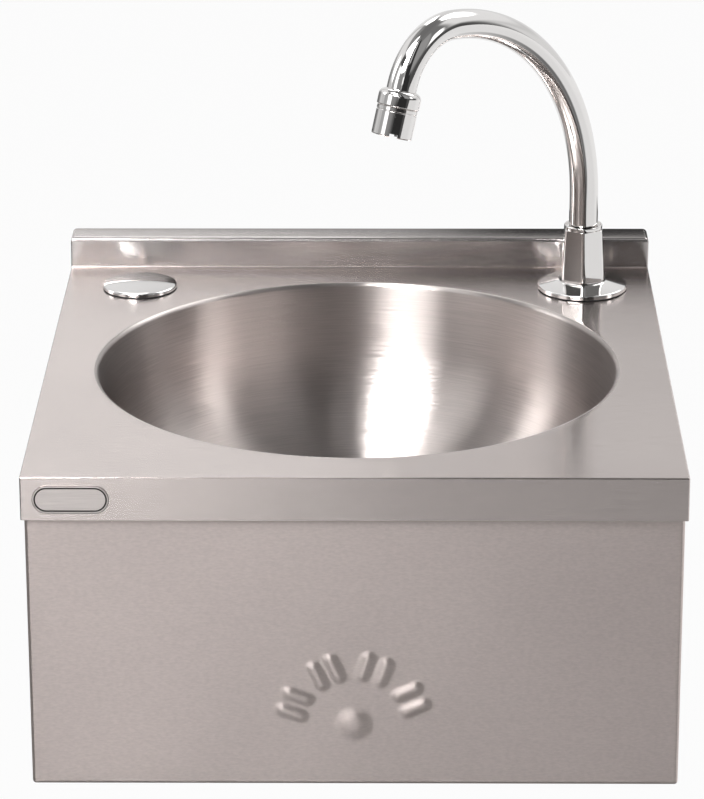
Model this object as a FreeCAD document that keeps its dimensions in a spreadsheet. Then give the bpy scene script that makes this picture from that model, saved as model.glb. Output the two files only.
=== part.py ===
"""Wall-hung, knee-operated hand basin of folded stainless sheet.

A square deck with folded lips and an upstand carries a spun round bowl. Two cheeks and a back plate hold
it to the wall. The front panel hangs on pins in the cheeks: pushed by the knee, it presses the plunger of
a self-closing valve, which feeds a swivelling swan-neck spout.

Frame: millimetres, origin at the middle of the wall fixing holes on the wall plane, +X to the user's
right, +Y into the wall, +Z up.
"""

import FreeCAD, Part
import math
import os
import re

import Sketcher
from FreeCAD import Vector

os.makedirs("parts", exist_ok=True)

DIMENSIONS = {
    # Deck: one sheet folded into lips and an upstand
    "deck_width": 385.0,
    "deck_depth": 410.0,
    "deck_height": 100.0,
    "deck_sheet": 1.2,
    "lip_height": 26.0,
    "bend_radius": 2.2,
    "upstand_height": 19.0,
    "upstand_depth": 21.0,
    "tap_hole_radius": 14.0,
    "tap_inset": 46.0,
    "cap_inset": 48.5,
    "tap_setback": 64.0,
    "stud_radius": 3.0,
    "stud_length": 12.0,
    "stud_inset": 17.5,
    "stud_front": 80.0,
    "stud_back": 110.0,
    # Bowl: spun sheet with a rolled rim and a recess for the waste
    "bowl_side_margin": 25.5,
    "bowl_front_margin": 27.5,
    "bowl_back_margin": 48.5,
    "rim_flat": 4.0,
    "rim_radius": 3.0,
    "bowl_sheet": 1.2,
    "wall_taper": 4.0,
    "knuckle_share": 0.551,
    "floor_slope": 5.0,
    "bowl_depth": 128.0,
    "recess_radius": 36.0,
    "recess_floor_radius": 33.5,
    "recess_depth": 4.0,
    "waste_hole_radius": 22.5,
    # Back plate: wall fixing holes and a window for the pipes
    "body_height": 195.0,
    "back_sheet": 2.0,
    "back_inset": 6.5,
    "back_flange": 18.0,
    "fixing_inset": 42.5,
    "fixing_spacing_z": 100.0,
    "fixing_radius": 4.5,
    "window_width": 190.0,
    "window_height": 76.0,
    "window_rise": 20.0,
    "window_corner": 9.0,
    # Cheeks: side plates between the wall and the panel's pivots
    "cheek_inset": 4.5,
    "cheek_sheet": 2.0,
    "cheek_flange": 22.0,
    "cheek_drop": 172.0,
    "cheek_front_gap": 7.0,
    "cheek_nose": 23.0,
    "cheek_chin": 66.0,
    "cheek_corner": 12.0,
    "flange_end_gap": 6.0,
    # Pivots and stops of the panel
    "pivot_setback": 16.0,
    "pivot_drop": 14.0,
    "pivot_radius": 4.0,
    "running_clearance": 0.05,
    "pin_head_radius": 7.0,
    "pin_head": 3.0,
    "pin_end_gap": 0.2,
    "washer_radius": 8.0,
    "washer_play": 0.2,
    "stop_reach": 80.0,
    "stop_drop": 8.0,
    "stop_radius": 3.0,
    "slot_clearance": 0.4,
    # Knee panel: front apron with side returns
    "panel_sheet": 1.2,
    "panel_gap": 0.7,
    "panel_top_drop": 12.0,
    "ear_top_drop": 6.0,
    "ear_chamfer": 6.0,
    "ear_length": 32.0,
    "side_rear_drop": 20.0,
    "side_depth_top": 140.0,
    "side_depth_bottom": 91.0,
    "panel_return": 14.0,
    "panel_swing": 5.5,
    # Push bolt that the panel carries
    "push_bolt_radius": 4.0,
    "push_nut_across": 13.0,
    "weld_nut_length": 8.0,
    "lock_nut_length": 6.5,
    "push_tip_radius": 7.0,
    "push_tip_dome": 9.0,
    "push_tip_length": 5.0,
    "push_gap": 0.3,
    "thread_clearance": 0.05,
    # Self-closing valve and its bracket
    "valve_drop": 138.0,
    "bracket_setback": 92.0,
    "bracket_sheet": 2.0,
    "bracket_width": 68.0,
    "bracket_leg": 56.0,
    "bracket_height": 61.0,
    "rivet_radius": 2.4,
    "rivet_head_radius": 4.4,
    "rivet_head": 1.1,
    "rivet_inset": 14.0,
    "rivet_spacing": 36.0,
    "neck_radius": 11.0,
    "neck_length": 14.0,
    "barrel_radius": 18.0,
    "barrel_length": 61.0,
    "barrel_bevel": 2.5,
    "valve_nut_across": 32.0,
    "valve_nut_length": 8.0,
    "plunger_radius": 6.0,
    "plunger_stroke": 13.2,
    "plunger_depth": 38.0,
    "button_radius": 13.0,
    "button_length": 8.0,
    "button_bevel": 1.5,
    "thread_radius": 10.48,
    "outlet_length": 14.0,
    "inlet_length": 16.0,
    "inlet_collar_radius": 13.5,
    "inlet_collar": 4.0,
    "water_bore": 7.0,
    # Outlet pipe and its union nuts
    "pipe_radius": 6.0,
    "pipe_wall": 1.0,
    "pipe_bend": 58.0,
    "pipe_nut_across": 25.0,
    "pipe_nut_length": 16.0,
    "pipe_nut_floor": 4.0,
    "pipe_play": 0.3,
    # Spout base on the deck
    "flange_radius": 29.0,
    "flange_rim": 3.6,
    "flange_rise": 3.0,
    "flange_bevel": 0.9,
    "flange_top_radius": 15.5,
    "seal_thickness": 1.5,
    "seal_inset": 4.0,
    "hex_base_across": 27.7,
    "hex_top_across": 24.4,
    "hex_height": 35.0,
    "hex_chamfer": 2.4,
    "tail_length": 52.0,
    "tail_bore": 7.5,
    "tube_insertion": 29.0,
    "oring_section": 2.4,
    "oring_depth": 12.0,
    "collar_radius": 12.4,
    "collar_height": 2.6,
    "collar_floor": 0.9,
    "collar_wall": 1.0,
    "under_seal_radius": 18.0,
    "under_seal": 2.0,
    "under_washer": 1.5,
    "back_nut_across": 27.0,
    "back_nut_length": 8.0,
    # Swan neck and aerator
    "tube_radius": 9.35,
    "tube_wall": 1.2,
    "riser_height": 63.8,
    "wide_bend": 138.0,
    "wide_sweep": 86.0,
    "tight_bend": 43.2,
    "tight_sweep": 76.0,
    "neck_end": 10.8,
    "neck_lead": 2.8,
    "spout_aim": 46.5,
    "outlet_collar_radius": 13.3,
    "outlet_collar_length": 10.6,
    "outlet_collar_bevel": 1.4,
    "housing_radius": 12.7,
    "housing_length": 18.6,
    "housing_wall": 1.6,
    "housing_neck": 3.0,
    "notch_width": 5.0,
    "notch_depth": 2.2,
    "aerator_washer": 1.8,
    "insert_recess": 1.2,
    "insert_length": 11.0,
    "insert_cell": 2.6,
    "insert_pitch": 4.2,
    "insert_cell_depth": 6.0,
    # Tap hole cap
    "cap_radius": 24.2,
    "cap_rim": 2.6,
    "cap_dome": 2.2,
    "cap_bevel": 0.8,
    "cap_stud_radius": 4.0,
    "cap_stud_length": 34.0,
    "cap_washer_radius": 18.0,
    "cap_washer": 2.0,
    "wing_hub_radius": 8.0,
    "wing_hub_length": 9.0,
    "wing_span": 42.0,
    "wing_height": 14.0,
    "wing_thickness": 3.0,
    # Waste
    "waste_flange_radius": 32.0,
    "waste_flange_thickness": 3.0,
    "waste_edge": 1.0,
    "waste_mouth_radius": 19.0,
    "waste_bar": 5.0,
    "waste_bar_depth": 3.0,
    "waste_boss_radius": 7.0,
    "waste_top_seal": 1.0,
    "waste_bottom_seal": 3.0,
    "waste_tail_head": 6.0,
    "waste_tail_neck": 8.0,
    "waste_tail_radius": 20.95,
    "waste_tail_length": 44.0,
    "waste_tail_bore": 18.2,
    "waste_screw_radius": 3.0,
    "waste_screw_head_radius": 5.5,
    "waste_screw_head": 2.2,
    "waste_bridge_depth": 10.0,
    "waste_bridge_drop": 4.0,
}

TOLERANCE = 1e-6

doc = FreeCAD.newDocument("HandBasin")
sheet = doc.addObject("Spreadsheet::Sheet", "Sheet")
for row, (alias, number) in enumerate(DIMENSIONS.items(), start=1):
    sheet.set("A%d" % row, alias)
    sheet.set("B%d" % row, str(number))
    sheet.setAlias("B%d" % row, alias)
doc.recompute()

# Places that several pieces share, as expressions of the sheet's cells
FRONT = "-deck_depth"
WELD_RADIUS = ("min(deck_width / 2 - bowl_side_margin; "
               "(deck_depth - bowl_front_margin - bowl_back_margin) / 2)")
RIM_START = "(%s - rim_flat)" % WELD_RADIUS
KNUCKLE = "(%s * knuckle_share)" % WELD_RADIUS
BOWL_Y = "(bowl_front_margin + %s - deck_depth)" % WELD_RADIUS
TAP_X = "(deck_width / 2 - tap_inset)"
CAP_X = "(cap_inset - deck_width / 2)"
FIXING_X = "(deck_width / 2 - fixing_inset)"
DECK_UNDER = "(deck_height - deck_sheet)"
BODY_BOTTOM = "(deck_height - body_height)"
PANEL_FRONT = "(deck_sheet + panel_gap - deck_depth)"
PANEL_INSIDE = "(deck_sheet + panel_gap + panel_sheet - deck_depth)"
PANEL_HALF = "(deck_width / 2 - deck_sheet - panel_gap)"
PIVOT_Y = "(pivot_setback - deck_depth)"
PIVOT_Z = "(deck_height - pivot_drop)"
CHEEK_OUTER = "(deck_width / 2 - cheek_inset)"
CHEEK_INNER = "(deck_width / 2 - cheek_inset - cheek_sheet)"
STOP_Y = "(pivot_setback - deck_depth + stop_reach)"
STOP_Z = "(deck_height - pivot_drop - stop_drop)"
VALVE_Z = "(deck_height - valve_drop)"
BRACKET_FRONT = "(bracket_setback - deck_depth)"
BRACKET_REAR = "(bracket_setback - deck_depth + bracket_sheet)"
BUTTON_FRONT = "(bracket_setback - deck_depth + bracket_sheet - neck_length - plunger_stroke - button_length)"
OUTLET_END = "(bracket_setback - deck_depth + bracket_sheet + barrel_length + outlet_length)"
TAP_Y = "-tap_setback"
TAIL_END = "(deck_height - tail_length)"
RECESS_Z = "(deck_height - bowl_depth - recess_depth)"
SPOUT_TURN = "(180 + spout_aim)"
NECK_TURN = "(wide_sweep + tight_sweep)"

WORD = re.compile(r"[A-Za-z_]\w*")


def bound(text):
    """Expression text with the sheet's name before each of its aliases."""
    def named(word):
        """Put the sheet's name before a cell's alias."""
        return "Sheet." + word.group() if word.group() in DIMENSIONS else word.group()

    return WORD.sub(named, text)


def value(text):
    """Number that an expression of the sheet's cells gives."""
    return float(sheet.evalExpression(bound(text)))


def bind(item, name, text):
    """Bind a property of an object to an expression of the sheet's cells."""
    item.setExpression(name, bound(text))


def place(item, at, turns=()):
    """Bind an object's placement: a place and a product of turns, each an axis and an angle."""
    axes = {"x": "vector(1; 0; 0)", "y": "vector(0; 1; 0)", "z": "vector(0; 0; 1)"}
    spin = " * ".join("rotation(%s; %s)" % (axes[axis], angle) for axis, angle in turns)
    spin = spin or "rotation(%s; 0)" % axes["z"]
    bind(item, "Placement", "placement(vector(%s; %s; %s); %s)" % (*at, spin))


def new_body(label):
    """Empty body whose label names its file."""
    body = doc.addObject("PartDesign::Body", label)
    body.Label = label
    return body


def new_sketch(body, role, offset="0"):
    """Sketch on one of the body's own origin planes, shifted along the plane's normal."""
    sketch = body.newObject("Sketcher::SketchObject", body.Name + "_sketch")
    plane = next(item for item in body.Origin.OriginFeatures if item.Role == role)
    sketch.AttachmentSupport = [(plane, "")]
    sketch.MapMode = "FlatFace"
    if offset != "0":
        bind(sketch, "AttachmentOffset.Base.z", offset)
    return sketch


def fix_point(sketch, edge, end, x, y):
    """Hold a point of the sketch at two expressions, on the axis where one is zero."""
    for kind, axis, text in (("DistanceX", -2, x), ("DistanceY", -1, y)):
        if text == "0":
            sketch.addConstraint(Sketcher.Constraint("PointOnObject", edge, end, axis))
        else:
            rule = sketch.addConstraint(Sketcher.Constraint(kind, -1, 1, edge, end, value(text)))
            bind(sketch, "Constraints[%d]" % rule, text)


def fix_radius(sketch, edge, text):
    """Hold the radius of a circle or an arc at an expression."""
    rule = sketch.addConstraint(Sketcher.Constraint("Radius", edge, value(text)))
    bind(sketch, "Constraints[%d]" % rule, text)


def arc_between(first, last, radius, turn):
    """Minor arc from one point to another, counter-clockwise where turn is 1."""
    half = (last - first) * 0.5
    rise = math.sqrt(max(radius ** 2 - half.Length ** 2, 0))
    left = Vector(-half.y, half.x, 0).normalize()
    centre = first + half + left * rise * turn
    start, end = (first, last) if turn > 0 else (last, first)
    low = math.atan2(start.y - centre.y, start.x - centre.x)
    high = math.atan2(end.y - centre.y, end.x - centre.x)
    if high <= low:
        high += 2 * math.pi
    return Part.ArcOfCircle(Part.Circle(centre, Vector(0, 0, 1), radius), low, high)


def outline(sketch, points, arcs=None, closed=True):
    """Outline through points, pairs of expressions; arcs maps an edge's number to its radius and turn."""
    arcs = arcs or {}
    places = [Vector(value(x), value(y), 0) for x, y in points]
    count = len(points) if closed else len(points) - 1
    base = sketch.GeometryCount
    ends = []
    for edge in range(count):
        first, last = places[edge], places[(edge + 1) % len(places)]
        if edge in arcs:
            radius, turn = arcs[edge]
            sketch.addGeometry(arc_between(first, last, value(radius), turn), False)
            ends.append((1, 2) if turn > 0 else (2, 1))
        else:
            sketch.addGeometry(Part.LineSegment(first, last), False)
            ends.append((1, 2))
    for edge in range(count if closed else count - 1):
        after = (edge + 1) % count
        joint = Sketcher.Constraint("Coincident", base + edge, ends[edge][1], base + after, ends[after][0])
        sketch.addConstraint(joint)
    for edge in range(count):
        fix_point(sketch, base + edge, ends[edge][0], *points[edge])
    if not closed:
        fix_point(sketch, base + count - 1, ends[count - 1][1], *points[-1])
    for edge, (radius, turn) in arcs.items():
        fix_radius(sketch, base + edge, radius)
    return sketch


def circles(sketch, rows):
    """Circles in a sketch, each row a centre and a radius as expressions."""
    for x, y, radius in rows:
        circle = Part.Circle(Vector(value(x), value(y), 0), Vector(0, 0, 1), value(radius))
        edge = sketch.addGeometry(circle, False)
        fix_point(sketch, edge, 3, x, y)
        fix_radius(sketch, edge, radius)
    return sketch


def hexagon(across, turned=False):
    """Corners of a hexagon by its width across flats, with a corner on X, or on Y where turned."""
    corner = "(%s) / sqrt(3)" % across
    half = "(%s) / 2 / sqrt(3)" % across
    flat = "(%s) / 2" % across
    points = [(corner, "0"), (half, flat), ("-" + half, flat),
              ("-" + corner, "0"), ("-" + half, "-" + flat), (half, "-" + flat)]
    return [(y, "-" + x if x != "0" else x) for x, y in points] if turned else points


def rectangle(low_x, low_y, high_x, high_y):
    """Corners of an upright rectangle."""
    return [(low_x, low_y), (high_x, low_y), (high_x, high_y), (low_x, high_y)]


def pad(body, sketch, length, symmetric=False, down=False):
    """Pad a sketch by a length, to both sides or against its normal."""
    feature = body.newObject("PartDesign::Pad", body.Name + "_pad")
    feature.Profile = sketch
    bind(feature, "Length", length)
    feature.SideType = "Symmetric" if symmetric else "One side"
    feature.Reversed = down
    return feature


def pocket(body, sketch, length=None, up=False):
    """Cut a sketch through the whole body, or by a length along or against its normal."""
    feature = body.newObject("PartDesign::Pocket", body.Name + "_pocket")
    feature.Profile = sketch
    if length is None:
        feature.SideType = "Symmetric"
        feature.Type = "ThroughAll"
    else:
        bind(feature, "Length", length)
        feature.Reversed = up
    return feature


def revolve(body, sketch):
    """Turn a sketch once round its vertical axis."""
    feature = body.newObject("PartDesign::Revolution", body.Name + "_turn")
    feature.Profile = sketch
    feature.ReferenceAxis = (sketch, ["V_Axis"])
    feature.Angle = 360
    return feature


def fillet(body, base, wanted, radius):
    """Round the edges of a feature that the test accepts."""
    doc.recompute()
    names = ["Edge%d" % (i + 1) for i, edge in enumerate(base.Shape.Edges) if wanted(edge)]
    feature = body.newObject("PartDesign::Fillet", body.Name + "_fillet")
    feature.Base = (base, names)
    bind(feature, "Radius", radius)
    return feature


def scoop(body, points, width):
    """Cut an outline of the side plane out of the body's middle, by a width across it."""
    feature = body.newObject("PartDesign::Pocket", body.Name + "_scoop")
    feature.Profile = outline(new_sketch(body, "YZ_Plane"), points)
    bind(feature, "Length", width)
    feature.SideType = "Symmetric"
    return feature


def turned(label, points, at, arcs=None, turns=()):
    """Turned piece: an outline of radius and height, turned round its axis and put in place."""
    body = new_body(label)
    revolve(body, outline(new_sketch(body, "XZ_Plane"), points, arcs))
    place(body, at, turns)
    return body


def ring(label, inner, outer, low, high, at, turns=()):
    """Plain ring between two radii and two heights."""
    return turned(label, rectangle(inner, low, outer, high), at, turns=turns)


def hex_nut(label, across, length, bore, at, turns=()):
    """Hexagon nut with a through bore, standing on its place."""
    body = new_body(label)
    pad(body, outline(new_sketch(body, "XY_Plane"), hexagon(across)), length)
    pocket(body, circles(new_sketch(body, "XY_Plane"), [("0", "0", bore)]))
    place(body, at, turns)
    return body


def group(label, bodies):
    """Several separate solids that share one file."""
    compound = doc.addObject("Part::Compound", label)
    compound.Label = label
    compound.Links = bodies
    return compound


def on_plane(edge_or_face, axis, text):
    """Whether all corners of an edge or a face lie at one place along an axis."""
    level = value(text)
    return all(abs(getattr(corner.Point, axis) - level) < TOLERANCE for corner in edge_or_face.Vertexes)


FACING_FRONT = [("x", "90")]
FACING_WALL = [("x", "-90")]
nodes = []


# Deck and bowl
def make_deck():
    """Folded deck: a block with rounded folds, hollowed from below, with bowl and tap openings and studs."""
    body = new_body("deck")
    lip_end = "deck_height - lip_height"
    top = "deck_height + upstand_height"
    side = [(FRONT, lip_end), (FRONT, "deck_height"), ("-upstand_depth", "deck_height"),
            ("-upstand_depth", top), ("0", top), ("0", lip_end)]
    block = pad(body, outline(new_sketch(body, "YZ_Plane"), side), "deck_width", symmetric=True)
    fillet(body, block, lambda e: not on_plane(e, "z", lip_end) and not on_plane(e, "y", "0"),
           "bend_radius")
    front, back, under = FRONT + " + deck_sheet", "deck_sheet - upstand_depth", DECK_UNDER
    inside = [(front, lip_end), (front, under), (back, under), (back, top + " - deck_sheet"),
              ("0", top + " - deck_sheet"), ("0", lip_end)]
    scoop(body, inside, "deck_width - 2 * deck_sheet")
    openings = [("0", BOWL_Y, WELD_RADIUS)]
    openings += [(x, TAP_Y, "tap_hole_radius") for x in (TAP_X, CAP_X)]
    pocket(body, circles(new_sketch(body, "XY_Plane"), openings))
    studs = [(x, y, "stud_radius") for x, y in stud_places()]
    pad(body, circles(new_sketch(body, "XY_Plane", DECK_UNDER), studs), "stud_length", down=True)
    return body


def stud_places():
    """Places of the four studs under the deck."""
    across = "(deck_width / 2 - stud_inset)"
    return [(sign + across, y) for sign in ("", "-") for y in ("stud_front - deck_depth", "-stud_back")]


def make_bowl():
    """Spun bowl: flat weld edge, rolled rim, tapered wall, round knuckle, sloped floor and waste recess."""
    body = new_body("bowl")
    sketch = new_sketch(body, "XZ_Plane")
    number = {name: value(name) for name in DIMENSIONS}
    weld, start = value(WELD_RADIUS), value(RIM_START)
    taper, slope = math.radians(number["wall_taper"]), math.radians(number["floor_slope"])
    wall, rim, knuckle = number["bowl_sheet"], number["rim_radius"], value(KNUCKLE)
    depth, recess = number["bowl_depth"], number["recess_radius"]
    rim_centre = Vector(start, -rim, 0)
    wall_way = Vector(-math.cos(taper), math.sin(taper), 0)
    floor_way = Vector(math.sin(slope), -math.cos(slope), 0)
    wall_top = rim_centre + wall_way * rim
    floor_level = knuckle * math.cos(slope) - depth + (knuckle * math.sin(slope) - recess) * math.tan(slope)
    wall_end = wall_top.y + knuckle * math.sin(taper)
    reach = wall_top.x - math.tan(taper) * wall_end - knuckle * math.cos(taper)
    reach = (reach + math.tan(taper) * floor_level) / (1 - math.tan(taper) * math.tan(slope))
    knuckle_centre = Vector(reach, floor_level + reach * math.tan(slope), 0)

    def side(offset):
        """Points of the rim's start and end and the knuckle's start and end, moved into the metal."""
        return (rim_centre + Vector(0, rim - offset, 0), rim_centre + wall_way * (rim - offset),
                knuckle_centre - wall_way * (knuckle + offset),
                knuckle_centre + floor_way * (knuckle + offset))

    def add_line(first, last):
        return sketch.addGeometry(Part.LineSegment(first, last), False)

    def add_arc(first, last, radius, turn):
        return sketch.addGeometry(arc_between(first, last, radius, turn), False)

    drop = -depth - number["recess_depth"]
    floor_edge = Vector(recess, -depth, 0)
    floor_under = Vector(recess, -depth - wall / math.cos(slope), 0)
    inner, outer = side(0), side(wall)
    edge_top, edge_under = Vector(weld, 0, 0), Vector(weld, -wall, 0)
    top = [add_line(edge_top, inner[0]), add_arc(inner[0], inner[1], rim, 1), add_line(inner[1], inner[2]),
           add_arc(inner[2], inner[3], knuckle, -1), add_line(inner[3], floor_edge)]
    corners = [floor_edge, Vector(number["recess_floor_radius"], drop, 0),
               Vector(number["waste_hole_radius"], drop, 0),
               Vector(number["waste_hole_radius"], drop - wall, 0),
               Vector(number["recess_floor_radius"], drop - wall, 0), floor_under]
    well = [add_line(first, last) for first, last in zip(corners, corners[1:])]
    under = [add_line(floor_under, outer[3]), add_arc(outer[3], outer[2], knuckle + wall, 1),
             add_line(outer[2], outer[1]), add_arc(outer[1], outer[0], rim - wall, -1),
             add_line(outer[0], edge_under)]
    weld = add_line(edge_under, edge_top)

    def join(kind, first, first_end, last, last_end):
        sketch.addConstraint(Sketcher.Constraint(kind, first, first_end, last, last_end))

    flange, roll, barrel, bend, floor = top
    for link in ((flange, 2, roll, 1), (roll, 2, barrel, 1), (barrel, 2, bend, 2), (bend, 1, floor, 1)):
        join("Tangent", *link)
    low_floor, low_bend, low_barrel, low_roll, low_flange = under
    for link in ((low_floor, 2, low_bend, 1), (low_bend, 2, low_barrel, 1),
                 (low_barrel, 2, low_roll, 2), (low_roll, 1, low_flange, 1)):
        join("Tangent", *link)
    chain = [floor, *well, low_floor]
    for first, last in zip(chain, chain[1:]):
        join("Coincident", first, 2, last, 1)
    join("Coincident", low_flange, 2, weld, 1)
    join("Coincident", weld, 2, flange, 1)
    join("Coincident", roll, 3, low_roll, 3)
    join("Coincident", bend, 3, low_bend, 3)
    sketch.addConstraint(Sketcher.Constraint("Horizontal", flange))
    sketch.addConstraint(Sketcher.Constraint("Vertical", weld))
    sketch.addConstraint(Sketcher.Constraint("Parallel", floor, low_floor))
    sketch.addConstraint(Sketcher.Constraint("Horizontal", low_flange))
    fix_point(sketch, flange, 1, WELD_RADIUS, "0")
    rule = sketch.addConstraint(Sketcher.Constraint("DistanceX", -1, 1, roll, 1, start))
    bind(sketch, "Constraints[%d]" % rule, RIM_START)
    for edge, text in ((roll, "rim_radius"), (bend, KNUCKLE),
                       (low_roll, "rim_radius - bowl_sheet"), (low_bend, KNUCKLE + " + bowl_sheet")):
        fix_radius(sketch, edge, text)
    for axis, edge, start, text in ((-2, barrel, math.pi - taper, "180 - wall_taper"),
                                    (-1, floor, math.pi + slope, "180 + floor_slope")):
        rule = sketch.addConstraint(Sketcher.Constraint("Angle", axis, 1, edge, 1, start))
        bind(sketch, "Constraints[%d]" % rule, "(%s) * 1 deg" % text)
    fix_point(sketch, floor, 2, "recess_radius", "-bowl_depth")
    places = [("recess_floor_radius", "-bowl_depth - recess_depth"),
              ("waste_hole_radius", "-bowl_depth - recess_depth"),
              ("waste_hole_radius", "-bowl_depth - recess_depth - bowl_sheet"),
              ("recess_floor_radius", "-bowl_depth - recess_depth - bowl_sheet")]
    for edge, (x, y) in zip(well, places):
        fix_point(sketch, edge, 2, x, y)
    rule = sketch.addConstraint(Sketcher.Constraint("DistanceX", -1, 1, low_floor, 1, recess))
    bind(sketch, "Constraints[%d]" % rule, "recess_radius")
    revolve(body, sketch)
    place(body, ("0", BOWL_Y, "deck_height"))
    return body


nodes += [make_deck(), make_bowl()]


# Back plate and cheeks
def make_back_plate():
    """Upright plate on the wall, bent forwards at its foot, with fixing holes and the pipe window."""
    body = new_body("back_plate")
    top = "deck_height + upstand_height - deck_sheet"
    foot = BODY_BOTTOM + " + back_sheet"
    side = [("0", BODY_BOTTOM), ("0", top), ("-back_sheet", top), ("-back_sheet", foot),
            ("-back_flange", foot), ("-back_flange", BODY_BOTTOM)]
    pad(body, outline(new_sketch(body, "YZ_Plane"), side), "deck_width - 2 * back_inset", symmetric=True)
    holes = [(x + FIXING_X, z + "fixing_spacing_z / 2", "fixing_radius")
             for x in ("", "-") for z in ("", "-")]
    pocket(body, circles(new_sketch(body, "XZ_Plane"), holes))
    low = BODY_BOTTOM + " + window_rise"
    high = low + " + window_height"
    left, right = "-window_width / 2", "window_width / 2"
    corners = [(left + " + window_corner", low), (right + " - window_corner", low),
               (right, low + " + window_corner"),
               (right, high + " - window_corner"), (right + " - window_corner", high),
               (left + " + window_corner", high), (left, high + " - window_corner"),
               (left, low + " + window_corner")]
    rounds = {edge: ("window_corner", 1) for edge in range(1, len(corners), 2)}
    pocket(body, outline(new_sketch(body, "XZ_Plane"), corners, rounds))
    return body


def make_cheek(label, sign):
    """Side plate with flanges under the deck and on the back plate, and holes for pivot, stop and studs."""
    body = new_body(label)
    middle = sign + "(deck_width / 2 - cheek_inset - cheek_sheet / 2)"
    front = FRONT + " + cheek_front_gap"
    bottom = "deck_height - cheek_drop"
    side = [("0", DECK_UNDER), (front, DECK_UNDER), (front, "deck_height - cheek_nose"),
            (FRONT + " + cheek_chin", bottom), ("0", bottom)]
    web = pad(body, outline(new_sketch(body, "YZ_Plane", middle), side), "cheek_sheet", symmetric=True)

    def at_front_corner(edge):
        """Edge through the sheet at the nose or the chin."""
        spot = edge.CenterOfMass
        across = abs(edge.tangentAt(edge.FirstParameter).x) > 0.5
        ahead = spot.y < value(FRONT + " + cheek_chin") + TOLERANCE
        return across and ahead and spot.z < value(DECK_UNDER) - TOLERANCE

    fillet(body, web, at_front_corner, "cheek_corner")
    inner, outer = sign + "(deck_width / 2 - cheek_inset - cheek_flange)", sign + CHEEK_OUTER
    low_x, high_x = (inner, outer) if sign == "" else (outer, inner)
    shelf = rectangle(low_x, FRONT + " + cheek_chin", high_x, "-upstand_depth - flange_end_gap")
    pad(body, outline(new_sketch(body, "XY_Plane", DECK_UNDER), shelf), "cheek_sheet", down=True)
    post = rectangle(low_x, bottom, high_x, DECK_UNDER + " - flange_end_gap")
    pad(body, outline(new_sketch(body, "XZ_Plane", "back_sheet"), post), "cheek_sheet")
    pins = [(PIVOT_Y, PIVOT_Z, "pivot_radius + running_clearance"),
            (STOP_Y, STOP_Z, "stop_radius + running_clearance")]
    pocket(body, circles(new_sketch(body, "YZ_Plane", middle), pins))
    studs = [(x, y, "stud_radius + slot_clearance") for x,
             y in stud_places() if x.startswith("-") == (sign == "-")]
    pocket(body, circles(new_sketch(body, "XY_Plane", DECK_UNDER), studs), "cheek_sheet * 2")
    if sign == "":
        rivets = [(y, z, "rivet_radius + running_clearance") for y, z in rivet_places()]
        pocket(body, circles(new_sketch(body, "YZ_Plane", middle), rivets))
    return body


def rivet_places():
    """Places of the valve bracket's rivets on the right cheek."""
    y = "(bracket_setback - deck_depth + bracket_leg - rivet_inset)"
    return [(y, VALVE_Z + sign + "rivet_spacing / 2") for sign in (" + ", " - ")]


nodes += [make_back_plate(), make_cheek("right_cheek", ""), make_cheek("left_cheek", "-")]


# Pivot pins, washers, stop pins and deck nuts
def make_pins(label, radius, y, z):
    """Headed pins, one in each cheek, that reach through the panel's returns."""
    end = PANEL_HALF + " - " + CHEEK_INNER + " - pin_end_gap"
    points = [("0", "-pin_head"), ("pin_head_radius", "-pin_head"), ("pin_head_radius", "0"), (radius, "0"),
              (radius, end), ("0", end)]
    sides = (("", "90"), ("-", "-90"))
    pins = [turned("%s_%s" % (label, name), points, (sign + CHEEK_INNER, y, z), turns=[("y", angle)])
            for name, (sign, angle) in zip(("right", "left"), sides)]
    return group(label, pins)


def make_hinge_washers():
    """Plastic washers between the cheeks and the panel's returns."""
    thick = PANEL_HALF + " - panel_sheet - " + CHEEK_OUTER + " - washer_play"
    sides = (("right", "", "90"), ("left", "-", "-90"))
    rings = [ring("hinge_washer_" + name, "pivot_radius + running_clearance", "washer_radius", "0", thick,
                  (sign + CHEEK_OUTER, PIVOT_Y, PIVOT_Z), [("y", angle)]) for name, sign, angle in sides]
    return group("hinge_washers", rings)


def make_deck_nuts():
    """Flanged nuts on the deck's studs, under the cheeks' shelves."""
    shelf = DECK_UNDER + " - cheek_sheet"
    nuts = []
    for x, y in stud_places():
        body = new_body("deck_nut")
        pad(body, circles(new_sketch(body, "XY_Plane"), [("0", "0", "pin_head_radius")]), "deck_sheet",
            down=True)
        seat = new_sketch(body, "XY_Plane", "-deck_sheet")
        pad(body, outline(seat, hexagon("stud_radius * 10 / 3")), "stud_radius * 2", down=True)
        pocket(body, circles(new_sketch(body, "XY_Plane"), [("0", "0", "stud_radius + thread_clearance")]))
        place(body, (x, y, shelf))
        nuts.append(body)
    return group("deck_nuts", nuts)


nodes += [make_pins("hinge_pins", "pivot_radius", PIVOT_Y, PIVOT_Z),
          make_pins("stop_pins", "stop_radius", STOP_Y, STOP_Z),
          make_hinge_washers(), make_deck_nuts()]


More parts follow.
